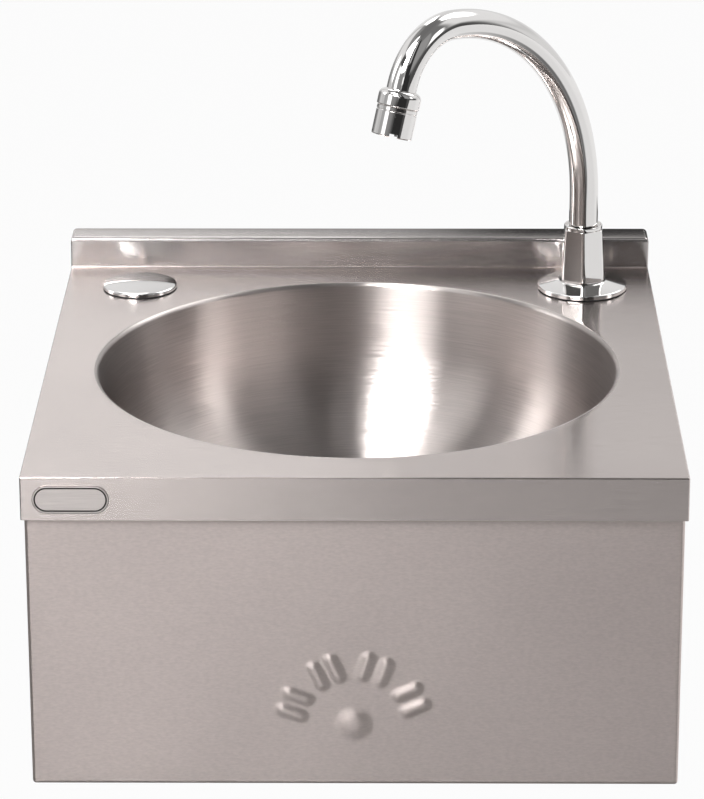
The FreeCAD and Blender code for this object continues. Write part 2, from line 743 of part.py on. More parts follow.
# Knee panel and its push bolt
def make_knee_panel():
    """Front apron with side returns, ears for the pivots, a folded foot and slots for the stop pins."""
    body = new_body("knee_panel")
    ear_top = "deck_height - ear_top_drop"
    side = [(PANEL_FRONT, BODY_BOTTOM), (PANEL_FRONT, "deck_height - panel_top_drop"),
            (PANEL_FRONT + " + ear_chamfer", ear_top), (PANEL_FRONT + " + ear_length", ear_top),
            (PANEL_FRONT + " + side_depth_top", "deck_height - side_rear_drop"),
            (PANEL_FRONT + " + side_depth_bottom", BODY_BOTTOM)]
    block = pad(body, outline(new_sketch(body, "YZ_Plane"), side), "2 * " + PANEL_HALF, symmetric=True)
    half = value(PANEL_HALF)

    def folded(edge):
        """Front uprights and all edges of the foot but the rear one."""
        upright = on_plane(edge, "y", PANEL_FRONT) and abs(abs(edge.CenterOfMass.x) - half) < TOLERANCE
        foot = on_plane(edge, "z", BODY_BOTTOM) and not on_plane(edge, "y",
                                                                 PANEL_FRONT + " + side_depth_bottom")
        return upright or foot

    fillet(body, block, folded, "bend_radius")
    inner, sole = PANEL_FRONT + " + panel_sheet", BODY_BOTTOM + " + panel_sheet"
    scoop(body, rectangle(inner, sole, PANEL_FRONT + " + side_depth_top", "deck_height"),
          "2 * %s - 2 * panel_sheet" % PANEL_HALF)
    inside = PANEL_HALF + " - panel_return"
    cut = rectangle("-" + "(" + inside + ")", PANEL_FRONT + " + panel_return", inside,
                    PANEL_FRONT + " + side_depth_top")
    pocket(body, outline(new_sketch(body, "XY_Plane", BODY_BOTTOM), cut), "panel_sheet * 2", up=True)
    far_y = PIVOT_Y + " + stop_reach * cos(panel_swing) - stop_drop * sin(panel_swing)"
    far_z = PIVOT_Z + " - stop_reach * sin(panel_swing) - stop_drop * cos(panel_swing)"
    slot = "stop_radius + slot_clearance"
    rounds = [(PIVOT_Y, PIVOT_Z, "pivot_radius + running_clearance"), (STOP_Y, STOP_Z, slot),
              (far_y, far_z, slot)]
    pocket(body, circles(new_sketch(body, "YZ_Plane"), rounds))
    across = "(%s) * cos(panel_swing / 2)" % slot
    along = "(%s) * sin(panel_swing / 2)" % slot
    waist = [(far_y + " - " + across, far_z + " + " + along),
             (far_y + " + " + across, far_z + " - " + along),
             (STOP_Y + " + " + across, STOP_Z + " - " + along),
             (STOP_Y + " - " + across, STOP_Z + " + " + along)]
    pocket(body, outline(new_sketch(body, "YZ_Plane"), waist))
    return body


def make_push_bolt():
    """Adjustable bolt on the panel's inside, with a domed tip that meets the valve's button."""
    start = "(%s + push_gap)" % PANEL_INSIDE
    length = "(%s - push_gap - %s)" % (BUTTON_FRONT, start)
    shoulder = length + " - push_tip_length"
    crown = "(push_tip_dome - sqrt(push_tip_dome^2 - push_tip_radius^2))"
    points = [("0", "0"), ("push_bolt_radius", "0"), ("push_bolt_radius", shoulder),
              ("push_tip_radius", shoulder),
              ("push_tip_radius", length + " - " + crown), ("0", length)]
    return turned("push_bolt", points, (TAP_X, start, VALVE_Z), {4: ("push_tip_dome", 1)}, FACING_WALL)


bolt_bore = "push_bolt_radius + thread_clearance"
nodes += [make_knee_panel(), make_push_bolt(),
          hex_nut("panel_weld_nut", "push_nut_across", "weld_nut_length", bolt_bore,
                  (TAP_X, PANEL_INSIDE, VALVE_Z), FACING_WALL),
          hex_nut("push_lock_nut", "push_nut_across", "lock_nut_length", bolt_bore,
                  (TAP_X, PANEL_INSIDE + " + weld_nut_length", VALVE_Z), FACING_WALL)]


# Valve, bracket and outlet pipe
def make_valve_body():
    """Valve: threaded neck, barrel with bevelled ends, threaded outlet behind and inlet below."""
    body = new_body("valve_body")
    rear = "-barrel_length"
    end = "-barrel_length - outlet_length"
    bore = "plunger_radius + running_clearance"
    points = [("water_bore", end), ("thread_radius", end), ("thread_radius", rear),
              ("barrel_radius - barrel_bevel", rear),
              ("barrel_radius", rear + " + barrel_bevel"), ("barrel_radius", "-barrel_bevel"),
              ("barrel_radius - barrel_bevel", "0"), ("neck_radius", "0"), ("neck_radius", "neck_length"),
              (bore, "neck_length"), (bore, "neck_length - plunger_depth"),
              ("0", "neck_length - plunger_depth"),
              ("0", end + " + outlet_length"), ("water_bore", end + " + outlet_length")]
    revolve(body, outline(new_sketch(body, "XZ_Plane"), points))
    middle = "-barrel_length / 2"
    stub = [("0", middle, "thread_radius")]
    collar = [("0", middle, "inlet_collar_radius")]
    inside = "barrel_radius / 2"
    pad(body, circles(new_sketch(body, "XZ_Plane", inside), collar), inside + " + inlet_collar")
    pad(body, circles(new_sketch(body, "XZ_Plane", "barrel_radius"), stub), "inlet_length")
    way_in = circles(new_sketch(body, "XZ_Plane", "barrel_radius + inlet_length"),
                     [("0", middle, "water_bore")])
    pocket(body, way_in, "inlet_length")
    place(body, (TAP_X, BRACKET_REAR, VALVE_Z), FACING_FRONT)
    return body


def make_plunger():
    """Plunger: a stem in the valve's neck and a round button that the panel's bolt presses."""
    points = [("0", "neck_length - plunger_depth + plunger_stroke"),
              ("plunger_radius", "neck_length - plunger_depth + plunger_stroke"),
              ("plunger_radius", "neck_length + plunger_stroke"),
              ("button_radius", "neck_length + plunger_stroke"),
              ("button_radius", "neck_length + plunger_stroke + button_length - button_bevel"),
              ("button_radius - button_bevel", "neck_length + plunger_stroke + button_length"),
              ("0", "neck_length + plunger_stroke + button_length")]
    return turned("valve_plunger", points, (TAP_X, BRACKET_REAR, VALVE_Z), turns=FACING_FRONT)


def make_bracket():
    """Folded bracket on the right cheek that holds the valve's neck."""
    body = new_body("valve_bracket")
    inner = CHEEK_INNER + " - bracket_width"
    rear = BRACKET_FRONT + " + bracket_leg"
    plan = [(inner, BRACKET_FRONT), (CHEEK_INNER, BRACKET_FRONT), (CHEEK_INNER, rear),
            (CHEEK_INNER + " - bracket_sheet", rear), (CHEEK_INNER + " - bracket_sheet", BRACKET_REAR),
            (inner, BRACKET_REAR)]
    pad(body, outline(new_sketch(body, "XY_Plane", VALVE_Z), plan), "bracket_height", symmetric=True)
    pocket(body, circles(new_sketch(body, "XZ_Plane"), [(TAP_X, VALVE_Z,
                                                         "neck_radius + thread_clearance")]))
    rivets = [(y, z, "rivet_radius + running_clearance") for y, z in rivet_places()]
    pocket(body, circles(new_sketch(body, "YZ_Plane"), rivets))
    return body


def make_rivets():
    """Rivets through the right cheek and the valve bracket."""
    grip = "cheek_sheet + bracket_sheet"
    points = [("0", "-rivet_head"), ("rivet_head_radius", "-rivet_head"), ("rivet_head_radius", "0"),
              ("rivet_radius", "0"),
              ("rivet_radius", grip), ("rivet_head_radius", grip),
              ("rivet_head_radius", grip + " + rivet_head"),
              ("0", grip + " + rivet_head")]
    rivets = [turned("bracket_rivet", points, (CHEEK_OUTER, y, z), turns=[("y", "-90")]) for y,
              z in rivet_places()]
    return group("bracket_rivets", rivets)


def make_pipe():
    """Bent outlet pipe from the valve's rear to the spout's tail."""
    body = new_body("outlet_pipe")
    start, corner = OUTLET_END + " + pipe_play", TAP_Y + " - pipe_bend"
    top = TAIL_END + " - pipe_play"
    route = [(start, VALVE_Z), (corner, VALVE_Z), (TAP_Y, VALVE_Z + " + pipe_bend"), (TAP_Y, top)]
    spine = outline(new_sketch(body, "YZ_Plane", TAP_X), route, {1: ("pipe_bend", 1)}, closed=False)
    profile = new_sketch(body, "XZ_Plane", "-(%s)" % start)
    circles(profile, [(TAP_X, VALVE_Z, "pipe_radius"), (TAP_X, VALVE_Z, "pipe_radius - pipe_wall")])
    pipe = body.newObject("PartDesign::AdditivePipe", "outlet_pipe_sweep")
    pipe.Profile = profile
    pipe.Spine = (spine, ["Edge1", "Edge2", "Edge3"])
    return body


def make_union_nut(label, at, turns):
    """Union nut: a hexagon open to the thread, with a floor round the pipe."""
    body = new_body(label)
    pad(body, outline(new_sketch(body, "XY_Plane"), hexagon("pipe_nut_across")), "pipe_nut_length")
    pocket(body, circles(new_sketch(body, "XY_Plane"), [("0", "0", "pipe_radius + thread_clearance")]))
    cup = circles(new_sketch(body, "XY_Plane", "pipe_nut_floor"),
                  [("0", "0", "thread_radius + thread_clearance")])
    pocket(body, cup, "pipe_nut_length", up=True)
    place(body, at, turns)
    return body


nut_depth = "(pipe_nut_length - pipe_nut_floor) / 2"
nodes += [make_valve_body(), make_plunger(), make_bracket(), make_rivets(), make_pipe(),
          hex_nut("valve_nut", "valve_nut_across", "valve_nut_length", "neck_radius + thread_clearance",
                  (TAP_X, BRACKET_FRONT, VALVE_Z), FACING_FRONT),
          make_union_nut("pipe_nut_lower", (TAP_X, OUTLET_END + " + pipe_nut_floor", VALVE_Z),
                         FACING_FRONT),
          make_union_nut("pipe_nut_upper", (TAP_X, TAP_Y, TAIL_END + " - pipe_nut_floor"), ())]


# Spout base
on_deck = (TAP_X, TAP_Y, "deck_height")


def make_spout_flange():
    """Round flange on the deck: a bevelled rim, a shallow cone and a recess for its seal."""
    bore = "thread_radius + slot_clearance"
    top = "flange_rim + flange_rise"
    points = [("flange_radius - seal_inset", "0"), ("flange_radius", "0"),
              ("flange_radius", "flange_rim - flange_bevel"),
              ("flange_radius - flange_bevel", "flange_rim"), ("flange_top_radius", top), (bore, top),
              (bore, "seal_thickness"), ("flange_radius - seal_inset", "seal_thickness")]
    return turned("spout_flange", points, on_deck)


def make_pillar():
    """Spout pillar: a tapered hexagon lofted between two sizes, a threaded tail and a stepped bore."""
    body = new_body("spout_pillar")
    base = "flange_rim + flange_rise"
    low = outline(new_sketch(body, "XY_Plane", base), hexagon("hex_base_across", turned=True))
    high = outline(new_sketch(body, "XY_Plane", base + " + hex_height"),
                   hexagon("hex_top_across", turned=True))
    loft = body.newObject("PartDesign::AdditiveLoft", "spout_pillar_loft")
    loft.Profile = low
    loft.Sections = [high]
    loft.Ruled = True
    bevel = body.newObject("PartDesign::Groove", "spout_pillar_bevel")
    cone = new_sketch(body, "XZ_Plane")
    corner = "hex_base_across / sqrt(3)"
    bevel.Profile = outline(cone, [("hex_base_across / 2", base), (corner + " + hex_chamfer", base),
                                   (corner + " + hex_chamfer", base + " + hex_chamfer")])
    bevel.ReferenceAxis = (cone, ["V_Axis"])
    bevel.Angle = 360
    tail = circles(new_sketch(body, "XY_Plane", base), [("0", "0", "thread_radius")])
    pad(body, tail, "tail_length + " + base, down=True)
    bore = circles(new_sketch(body, "XY_Plane", base), [("0", "0", "tail_bore")])
    pocket(body, bore)
    top = base + " + hex_height"
    socket = circles(new_sketch(body, "XY_Plane", top), [("0", "0", "tube_radius + running_clearance")])
    pocket(body, socket, "tube_insertion")
    groove = body.newObject("PartDesign::Groove", "spout_pillar_groove")
    seat = new_sketch(body, "XZ_Plane")
    groove.Profile = outline(seat, rectangle("tail_bore", top + " - oring_depth - oring_section",
                                             "tube_radius + oring_section / 2", top + " - oring_depth"))
    groove.ReferenceAxis = (seat, ["V_Axis"])
    groove.Angle = 360
    place(body, on_deck)
    return body


hex_top = "flange_rim + flange_rise + hex_height"
tube_bore = "tube_radius + running_clearance"
tail_clear = "thread_radius + thread_clearance"
under_deck = (TAP_X, TAP_Y, DECK_UNDER)
collar_outline = [(tube_bore, "0"), ("collar_radius", "0"), ("collar_radius", "collar_height"),
                  ("collar_radius - collar_wall", "collar_height"),
                  ("collar_radius - collar_wall", "collar_floor"),
                  (tube_bore, "collar_floor")]
nodes += [
    make_spout_flange(),
    make_pillar(),
    ring("spout_seal", tail_clear, "flange_radius - seal_inset - slot_clearance", "0", "seal_thickness",
         on_deck),
    turned("swivel_collar", collar_outline, (TAP_X, TAP_Y, "deck_height + " + hex_top)),
    ring("swivel_seal", tube_bore, "tube_radius + oring_section / 2", "-oring_section", "0",
         (TAP_X, TAP_Y, "deck_height + %s - oring_depth" % hex_top)),
    ring("spout_under_seal", tail_clear, "under_seal_radius", "-under_seal", "0", under_deck),
    ring("spout_washer", tail_clear, "under_seal_radius", "-under_seal - under_washer", "-under_seal",
         under_deck),
    hex_nut("spout_back_nut", "back_nut_across", "back_nut_length", tail_clear,
            (TAP_X, TAP_Y, DECK_UNDER + " - under_seal - under_washer - back_nut_length")),
]


# Swan neck and aerator
def make_spout_tube():
    """Swan neck: a riser, a wide bend, a tight bend and a short straight end, swept by a tube."""
    body = new_body("spout_tube")
    foot = hex_top + " - tube_insertion"
    bend_x = "wide_bend * (1 - cos(wide_sweep))"
    bend_z = "riser_height + wide_bend * sin(wide_sweep)"
    end_x = bend_x + " + tight_bend * (cos(wide_sweep) - cos(%s))" % NECK_TURN
    end_z = bend_z + " + tight_bend * (sin(%s) - sin(wide_sweep))" % NECK_TURN
    last_x, last_z = end_x + " + neck_end * sin(%s)" % NECK_TURN, end_z + " + neck_end * cos(%s)" % NECK_TURN
    route = [("0", foot), ("0", "riser_height"), (bend_x, bend_z), (end_x, end_z), (last_x, last_z)]
    bends = {1: ("wide_bend", -1), 2: ("tight_bend", -1)}
    spine = outline(new_sketch(body, "XZ_Plane"), route, bends, closed=False)
    profile = new_sketch(body, "XY_Plane", foot)
    circles(profile, [("0", "0", "tube_radius"), ("0", "0", "tube_radius - tube_wall")])
    sweep = body.newObject("PartDesign::AdditivePipe", "spout_tube_sweep")
    sweep.Profile = profile
    sweep.Spine = (spine, ["Edge%d" % (i + 1) for i in range(len(route) - 1)])
    place(body, on_deck, [("z", SPOUT_TURN)])
    return body


def neck_place(along):
    """Place and turns of a piece that sits on the neck's end, its axis along the outlet."""
    reach = "(wide_bend * (1 - cos(wide_sweep)) + tight_bend * (cos(wide_sweep) - cos(%s)) + (%s) * sin(%s))"
    rise = ("(riser_height + wide_bend * sin(wide_sweep)"
            " + tight_bend * (sin(%s) - sin(wide_sweep)) + (%s) * cos(%s))")
    reach, rise = reach % (NECK_TURN, along, NECK_TURN), rise % (NECK_TURN, along, NECK_TURN)
    at = ("%s + %s * cos(%s)" % (TAP_X, reach, SPOUT_TURN), TAP_Y + " + %s * sin(%s)" % (reach, SPOUT_TURN),
          "deck_height + " + rise)
    return at, [("z", SPOUT_TURN), ("y", NECK_TURN)]


def make_outlet_collar():
    """Collar brazed on the tube's end, bevelled above, with a stepped socket for the housing."""
    bevel = "outlet_collar_bevel"
    mouth = "housing_radius - housing_wall"
    points = [(tube_bore, "0"), ("outlet_collar_radius - " + bevel, "0"), ("outlet_collar_radius", bevel),
              ("outlet_collar_radius", "outlet_collar_length"), (mouth, "outlet_collar_length"),
              (mouth, "neck_end - neck_lead"), (tube_bore, "neck_end - neck_lead")]
    at, turns = neck_place("neck_lead")
    return turned("outlet_collar", points, at, turns=turns)


def make_housing():
    """Aerator housing: a threaded neck in the collar, a plain barrel and key notches in its lower edge."""
    body = new_body("aerator_housing")
    skin = "housing_radius - housing_wall"
    points = [(skin, "0"), ("housing_radius", "0"), ("housing_radius", "housing_length"),
              (skin, "housing_length")]
    revolve(body, outline(new_sketch(body, "XZ_Plane"), points))
    half = "notch_width / 2"
    end = "housing_length - notch_depth"
    for plane in ("XZ_Plane", "YZ_Plane"):
        notch = rectangle("-" + half, end, half, "housing_length + notch_depth")
        pocket(body, outline(new_sketch(body, plane), notch))
    at, turns = neck_place("neck_lead + outlet_collar_length")
    place(body, at, turns)
    return body


def make_insert():
    """Aerator insert: a plastic plug with a grid of outlet holes."""
    body = new_body("aerator_insert")
    radius = "housing_radius - housing_wall - running_clearance"
    pad(body, circles(new_sketch(body, "XY_Plane"), [("0", "0", radius)]), "insert_length")
    holes = [("0", "0", "insert_cell / 2")]
    for turn in range(6):
        angle = "%d" % (turn * 60)
        holes.append(("insert_pitch * cos(%s)" % angle, "insert_pitch * sin(%s)" % angle,
                      "insert_cell / 2"))
    top = new_sketch(body, "XY_Plane", "insert_length")
    pocket(body, circles(top, holes), "insert_cell_depth")
    housing_end = "neck_lead + outlet_collar_length + housing_length"
    at, turns = neck_place(housing_end + " - insert_recess - notch_depth - insert_length")
    place(body, at, turns)
    return body


washer_at, washer_turns = neck_place("neck_end")
nodes += [
    make_spout_tube(),
    make_outlet_collar(),
    make_housing(),
    make_insert(),
    ring("aerator_washer", "tube_radius - tube_wall - aerator_washer",
         "housing_radius - housing_wall - running_clearance",
         "0", "aerator_washer", washer_at, washer_turns),
]


# Tap hole cap
def make_cap():
    """Domed cap with a bevelled rim, a recess for its seal and a stud."""
    crown = "cap_radius - cap_bevel"
    dome = "((%s)^2 + cap_dome^2) / (2 * cap_dome)" % crown
    points = [("0", "-cap_stud_length"), ("cap_stud_radius", "-cap_stud_length"),
              ("cap_stud_radius", "seal_thickness"),
              ("cap_radius - seal_inset", "seal_thickness"), ("cap_radius - seal_inset", "0"),
              ("cap_radius", "0"),
              ("cap_radius", "cap_rim - cap_bevel"), (crown, "cap_rim"), ("0", "cap_rim + cap_dome")]
    return turned("tap_hole_cap", points, (CAP_X, TAP_Y, "deck_height"), {7: (dome, 1)})


def make_wing_nut():
    """Wing nut: a round hub with two upright wings."""
    body = new_body("cap_wing_nut")
    pad(body, circles(new_sketch(body, "XY_Plane"), [("0", "0", "wing_hub_radius")]), "wing_hub_length",
        down=True)
    tip = "wing_span / 2"
    wings = [("-wing_hub_radius / 2", "-wing_hub_length"), ("wing_hub_radius / 2", "-wing_hub_length"),
             (tip + " - wing_thickness", "-wing_height"), (tip, "-wing_height"),
             (tip, "-wing_hub_length / 2"),
             ("wing_hub_radius", "0"), ("-wing_hub_radius", "0"), ("-" + tip, "-wing_hub_length / 2"),
             ("-" + tip, "-wing_height"), ("-" + tip + " + wing_thickness", "-wing_height")]
    pad(body, outline(new_sketch(body, "XZ_Plane"), wings), "wing_thickness", symmetric=True)
    pocket(body, circles(new_sketch(body, "XY_Plane"), [("0", "0", "cap_stud_radius + thread_clearance")]))
    place(body, (CAP_X, TAP_Y, DECK_UNDER + " - cap_washer"))
    return body


nodes += [
    make_cap(),
    ring("cap_seal", "cap_stud_radius + thread_clearance", "cap_radius - seal_inset - slot_clearance",
         "0", "seal_thickness",
         (CAP_X, TAP_Y, "deck_height")),
    ring("cap_washer", "cap_stud_radius + thread_clearance", "cap_washer_radius", "-cap_washer", "0",
         (CAP_X, TAP_Y, DECK_UNDER)),
    make_wing_nut(),
]


# Waste
in_recess = ("0", BOWL_Y, RECESS_Z)
under_bowl = ("0", BOWL_Y, RECESS_Z + " - bowl_sheet")


def add_cross(body, low, depth, reach):
    """Two crossed bars and a boss round the axis, padded up from a level."""
    half = "waste_bar / 2"
    for points in (rectangle("-" + reach, "-" + half, reach, half),
                   rectangle("-" + half, "-" + reach, half, reach)):
        pad(body, outline(new_sketch(body, "XY_Plane", low), points), depth)
    pad(body, circles(new_sketch(body, "XY_Plane", low), [("0", "0", "waste_boss_radius")]), depth)


def make_waste_flange():
    """Strainer flange in the bowl's recess: a dished ring with a cross and a boss for the screw."""
    body = new_body("waste_flange")
    low = "waste_top_seal"
    top = "waste_top_seal + waste_flange_thickness"
    points = [("waste_mouth_radius", low), ("waste_flange_radius", low),
              ("waste_flange_radius", low + " + waste_edge"),
              ("waste_flange_radius - waste_edge", top),
              ("waste_mouth_radius + waste_edge", top + " - waste_edge"),
              ("waste_mouth_radius", top + " - 2 * waste_edge")]
    revolve(body, outline(new_sketch(body, "XZ_Plane"), points))
    add_cross(body, low + " - waste_bar_depth + waste_edge", "waste_bar_depth",
              "waste_mouth_radius + waste_edge / 2")
    pocket(body, circles(new_sketch(body, "XY_Plane"), [("0", "0",
                                                         "waste_screw_radius + thread_clearance")]))
    place(body, in_recess)
    return body


def make_waste_tail():
    """Tail below the bowl: a flared head, a threaded pipe and a bridge for the screw."""
    body = new_body("waste_tail")
    head = "-waste_bottom_seal"
    neck = head + " - waste_tail_head"
    pipe = neck + " - waste_tail_neck"
    end = pipe + " - waste_tail_length"
    wall = "waste_tail_radius - waste_tail_bore"
    points = [("waste_tail_bore", end), ("waste_tail_radius", end), ("waste_tail_radius", pipe),
              ("waste_flange_radius", neck), ("waste_flange_radius", head), ("waste_tail_bore", head)]
    revolve(body, outline(new_sketch(body, "XZ_Plane"), points))
    add_cross(body, neck + " - waste_bridge_drop", "waste_bridge_depth",
              "waste_tail_bore + (%s) / 2" % wall)
    pocket(body, circles(new_sketch(body, "XY_Plane"), [("0", "0",
                                                         "waste_screw_radius + thread_clearance")]))
    place(body, under_bowl)
    return body


def make_waste_screw():
    """Centre screw that draws the tail up to the flange."""
    seat = "waste_top_seal + waste_edge"
    end = "-bowl_sheet - waste_bottom_seal - waste_tail_head - waste_bridge_drop"
    points = [("0", end), ("waste_screw_radius", end), ("waste_screw_radius", seat),
              ("waste_screw_head_radius", seat),
              ("waste_screw_head_radius", seat + " + waste_screw_head / 2"),
              ("waste_screw_radius", seat + " + waste_screw_head"), ("0", seat + " + waste_screw_head")]
    return turned("waste_screw", points, in_recess)


nodes += [
    make_waste_flange(),
    make_waste_tail(),
    make_waste_screw(),
    ring("waste_top_seal", "waste_hole_radius", "waste_flange_radius - waste_edge", "0",
         "waste_top_seal", in_recess),
    ring("waste_bottom_seal", "waste_hole_radius", "waste_flange_radius", "-waste_bottom_seal", "0",
         under_bowl),
]


def check(items):
    """Stop where an object failed, a cut took nothing away, or a shape is null or invalid."""
    doc.recompute()
    for item in doc.Objects:
        if "Invalid" in item.State or "Error" in item.State:
            raise RuntimeError("%s failed: %s" % (item.Name, item.getStatusString()))
        if item.TypeId in ("PartDesign::Pocket", "PartDesign::Groove"):
            if item.Shape.Volume > item.BaseFeature.Shape.Volume - TOLERANCE:
                raise RuntimeError("%s cuts nothing" % item.Name)
    for item in items:
        if item.Shape.isNull() or not item.Shape.isValid() or item.Shape.Volume < TOLERANCE:
            raise RuntimeError("%s has no valid shape" % item.Label)


check(nodes)
for node in nodes:
    node.Shape.exportStep("parts/%s.step" % node.Label)
    print("%-18s %2d solids %10.1f mm3" % (node.Label, len(node.Shape.Solids), node.Shape.Volume))
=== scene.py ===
"""Looks of the wall-hung knee-operated wash basin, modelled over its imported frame."""
import logging
import math
from dataclasses import dataclass
from enum import Enum
from typing import Callable, Optional, Sequence, Union

import bmesh
import bpy
from mathutils import Matrix, Vector


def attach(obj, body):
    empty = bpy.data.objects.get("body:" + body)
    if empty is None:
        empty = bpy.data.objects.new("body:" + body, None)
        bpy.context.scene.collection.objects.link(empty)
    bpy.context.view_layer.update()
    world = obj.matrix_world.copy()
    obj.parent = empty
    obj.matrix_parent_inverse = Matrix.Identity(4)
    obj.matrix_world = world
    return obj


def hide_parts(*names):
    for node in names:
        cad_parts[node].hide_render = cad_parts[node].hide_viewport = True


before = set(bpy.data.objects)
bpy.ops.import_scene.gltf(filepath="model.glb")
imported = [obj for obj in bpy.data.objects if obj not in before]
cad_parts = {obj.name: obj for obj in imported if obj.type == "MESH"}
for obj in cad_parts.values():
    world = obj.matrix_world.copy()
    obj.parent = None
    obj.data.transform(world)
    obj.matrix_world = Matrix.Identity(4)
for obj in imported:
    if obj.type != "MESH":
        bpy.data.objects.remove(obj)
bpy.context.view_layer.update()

LOG = logging.getLogger("wash_basin")
MM = 0.001
MERGE_GAP = 0.000002
NEAR = 0.1
FACING = 0.9
SQUARE_ON = 0.99
FLAT_TURN = math.radians(0.4)
FOLD_TURN = 0.3
TURNED_CREASE = 30.0
CREASE = 35.0
SHEET_CREASE = 40.0
WIDE_FACETS, DISC_FACETS, FACETS, TUBE_FACETS = 192, 128, 96, 64
HOLE_FACETS, BOLT_FACETS, STUD_FACETS = 48, 32, 24
NOISE_ROUGHNESS = 0.6
BUMP_DEPTH = 0.0003

Output = bpy.types.NodeSocket
Socket = Union[Output, float]
Feeds = dict[Union[int, str], object]
Piece = bpy.types.Object
Test = Callable[[Vector, Vector], bool]
Pair = tuple[float, float]
Point = tuple[float, float, float]
Profile = Sequence[Pair]


class Body(Enum):
    """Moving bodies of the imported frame."""

    BASIN = "basin"
    PANEL = "knee_panel"
    PLUNGER = "plunger"
    SPOUT = "spout"


class Grain(Enum):
    """Way in which the polishing lines of a sheet run."""

    ALONG_X = "along_x"
    ALONG_Y = "along_y"
    ROUND_BOWL = "round_bowl"


class NodeSheet:
    """Node tree of one material, with short ways to add and link its nodes."""

    def __init__(self, tree: bpy.types.NodeTree) -> None:
        """Keep the tree that the nodes go into."""
        self.tree = tree

    def feed(self, target: Output, source: object) -> None:
        """Link an output to an input, or set a plain value on it.

        Args:
            target: the input.
            source: an output to link, or the value to set.
        """
        if isinstance(source, Output):
            self.tree.links.new(source, target)
        else:
            target.default_value = source

    def add(self, kind: str, feeds: Optional[Feeds] = None, **settings: object) -> bpy.types.Node:
        """Add a node.

        Args:
            kind: Blender's name of the node type.
            feeds: what goes into its inputs, by their names or places.
            settings: attributes to set on the node.

        Returns:
            The new node.
        """
        node = self.tree.nodes.new(kind)
        for name, setting in settings.items():
            setattr(node, name, setting)
        for key, source in (feeds or {}).items():
            self.feed(node.inputs[key], source)
        return node

    def sum(self, operation: str, first: Socket, second: Socket = 0.0) -> Output:
        """Give the result of one Math node on one or two values."""
        return self.add("ShaderNodeMath", {0: first, 1: second}, operation=operation).outputs[0]

    def times(self, first: Socket, second: Socket) -> Output:
        """Multiply two values."""
        return self.sum("MULTIPLY", first, second)

    def span(self, source: Socket, start: Pair, end: Pair, soft: bool = False) -> Output:
        """Carry a value from one range to another, clamped.

        Args:
            source: the value.
            start: lowest and highest value coming in.
            end: values given for these.
            soft: ease in and out of the ends.

        Returns:
            The result.
        """
        names = ("Value", "From Min", "From Max", "To Min", "To Max")
        feeds = dict(zip(names, (source, *start, *end)))
        ease = "SMOOTHSTEP" if soft else "LINEAR"
        return self.add("ShaderNodeMapRange", feeds, interpolation_type=ease).outputs["Result"]

    def band(self, source: Socket, low: float, high: float, soft: float) -> Output:
        """Give 1 between two values and 0 outside them, with eased edges.

        Args:
            source: the value that is tested.
            low: start of the band.
            high: end of the band.
            soft: half the width of each eased edge.

        Returns:
            The band's strength.
        """
        rise = self.span(source, (low - soft, low + soft), (0.0, 1.0), soft=True)
        fall = self.span(source, (high - soft, high + soft), (1.0, 0.0), soft=True)
        return self.times(rise, fall)

    def coordinates(self, scale: Point = (1.0, 1.0, 1.0), shift: Point = (0.0, 0.0, 0.0)) -> Output:
        """Give Object coordinates, moved and then stretched.

        Args:
            scale: stretch along each axis.
            shift: the point of the object, in metres, that becomes the pattern's origin.

        Returns:
            The vector.
        """
        source = self.add("ShaderNodeTexCoord").outputs["Object"]
        place = [-s * m for s, m in zip(shift, scale)]
        feeds = {"Vector": source, "Location": place, "Scale": scale}
        return self.add("ShaderNodeMapping", feeds).outputs["Vector"]

    def noise(self, vector: Output, scale: float = 1.0, detail: float = 3.0) -> Output:
        """Give a noise pattern of a frequency and some octaves, with values around 0.5."""
        feeds = {"Vector": vector, "Scale": scale, "Detail": detail, "Roughness": NOISE_ROUGHNESS}
        return self.add("ShaderNodeTexNoise", feeds).outputs["Fac"]

    def vector(self, x: Socket, y: Socket, z: Socket) -> Output:
        """Join three values into a vector."""
        return self.add("ShaderNodeCombineXYZ", {0: x, 1: y, 2: z}).outputs["Vector"]

    def split(self, vector: Output) -> list[Output]:
        """Split a vector into its three values."""
        return list(self.add("ShaderNodeSeparateXYZ", {0: vector}).outputs)

    def between(self, share: Socket, first: Socket, second: Socket) -> Output:
        """Mix a share of a second value into a first."""
        return self.add("ShaderNodeMix", {0: share, 2: first, 3: second}).outputs[0]

    def shades(self, share: Socket, low: Sequence[float], high: Sequence[float]) -> Output:
        """Run from one colour at 0 to another at 1."""
        feeds = {"Factor": share, 6: (*low, 1.0), 7: (*high, 1.0)}
        return self.add("ShaderNodeMix", feeds, data_type="RGBA").outputs[2]

    def edges(self) -> Output:
        """Give 1 along worn outer edges and 0 on flats."""
        return self.span(self.add("ShaderNodeNewGeometry").outputs["Pointiness"], (0.51, 0.6), (0.0, 1.0))

    def relief(self, height: Output, strength: float, depth: float = BUMP_DEPTH) -> Output:
        """Turn a height pattern into a bumped normal, with its depth in metres."""
        feeds = {"Strength": strength, "Distance": depth, "Height": height}
        return self.add("ShaderNodeBump", feeds).outputs["Normal"]

    def lean(self, normal: Socket, way: Socket, amount: Socket) -> Output:
        """Tip a normal along a direction.

        Args:
            normal: the normal.
            way: the direction.
            amount: how far it is tipped, as a share of its length.

        Returns:
            The new normal.
        """
        tip = self.add("ShaderNodeVectorMath", {0: way, "Scale": amount}, operation="SCALE").outputs[0]
        both = self.add("ShaderNodeVectorMath", {0: normal, 1: tip}, operation="ADD").outputs[0]
        return self.add("ShaderNodeVectorMath", {0: both}, operation="NORMALIZE").outputs[0]

    def rays(self) -> tuple[Output, Output]:
        """Tell rays from the camera, and rays from a mirror or through glass."""
        kinds = self.add("ShaderNodeLightPath").outputs
        mirror = self.sum("MAXIMUM", kinds["Is Glossy Ray"], kinds["Is Transmission Ray"])
        return kinds["Is Camera Ray"], mirror


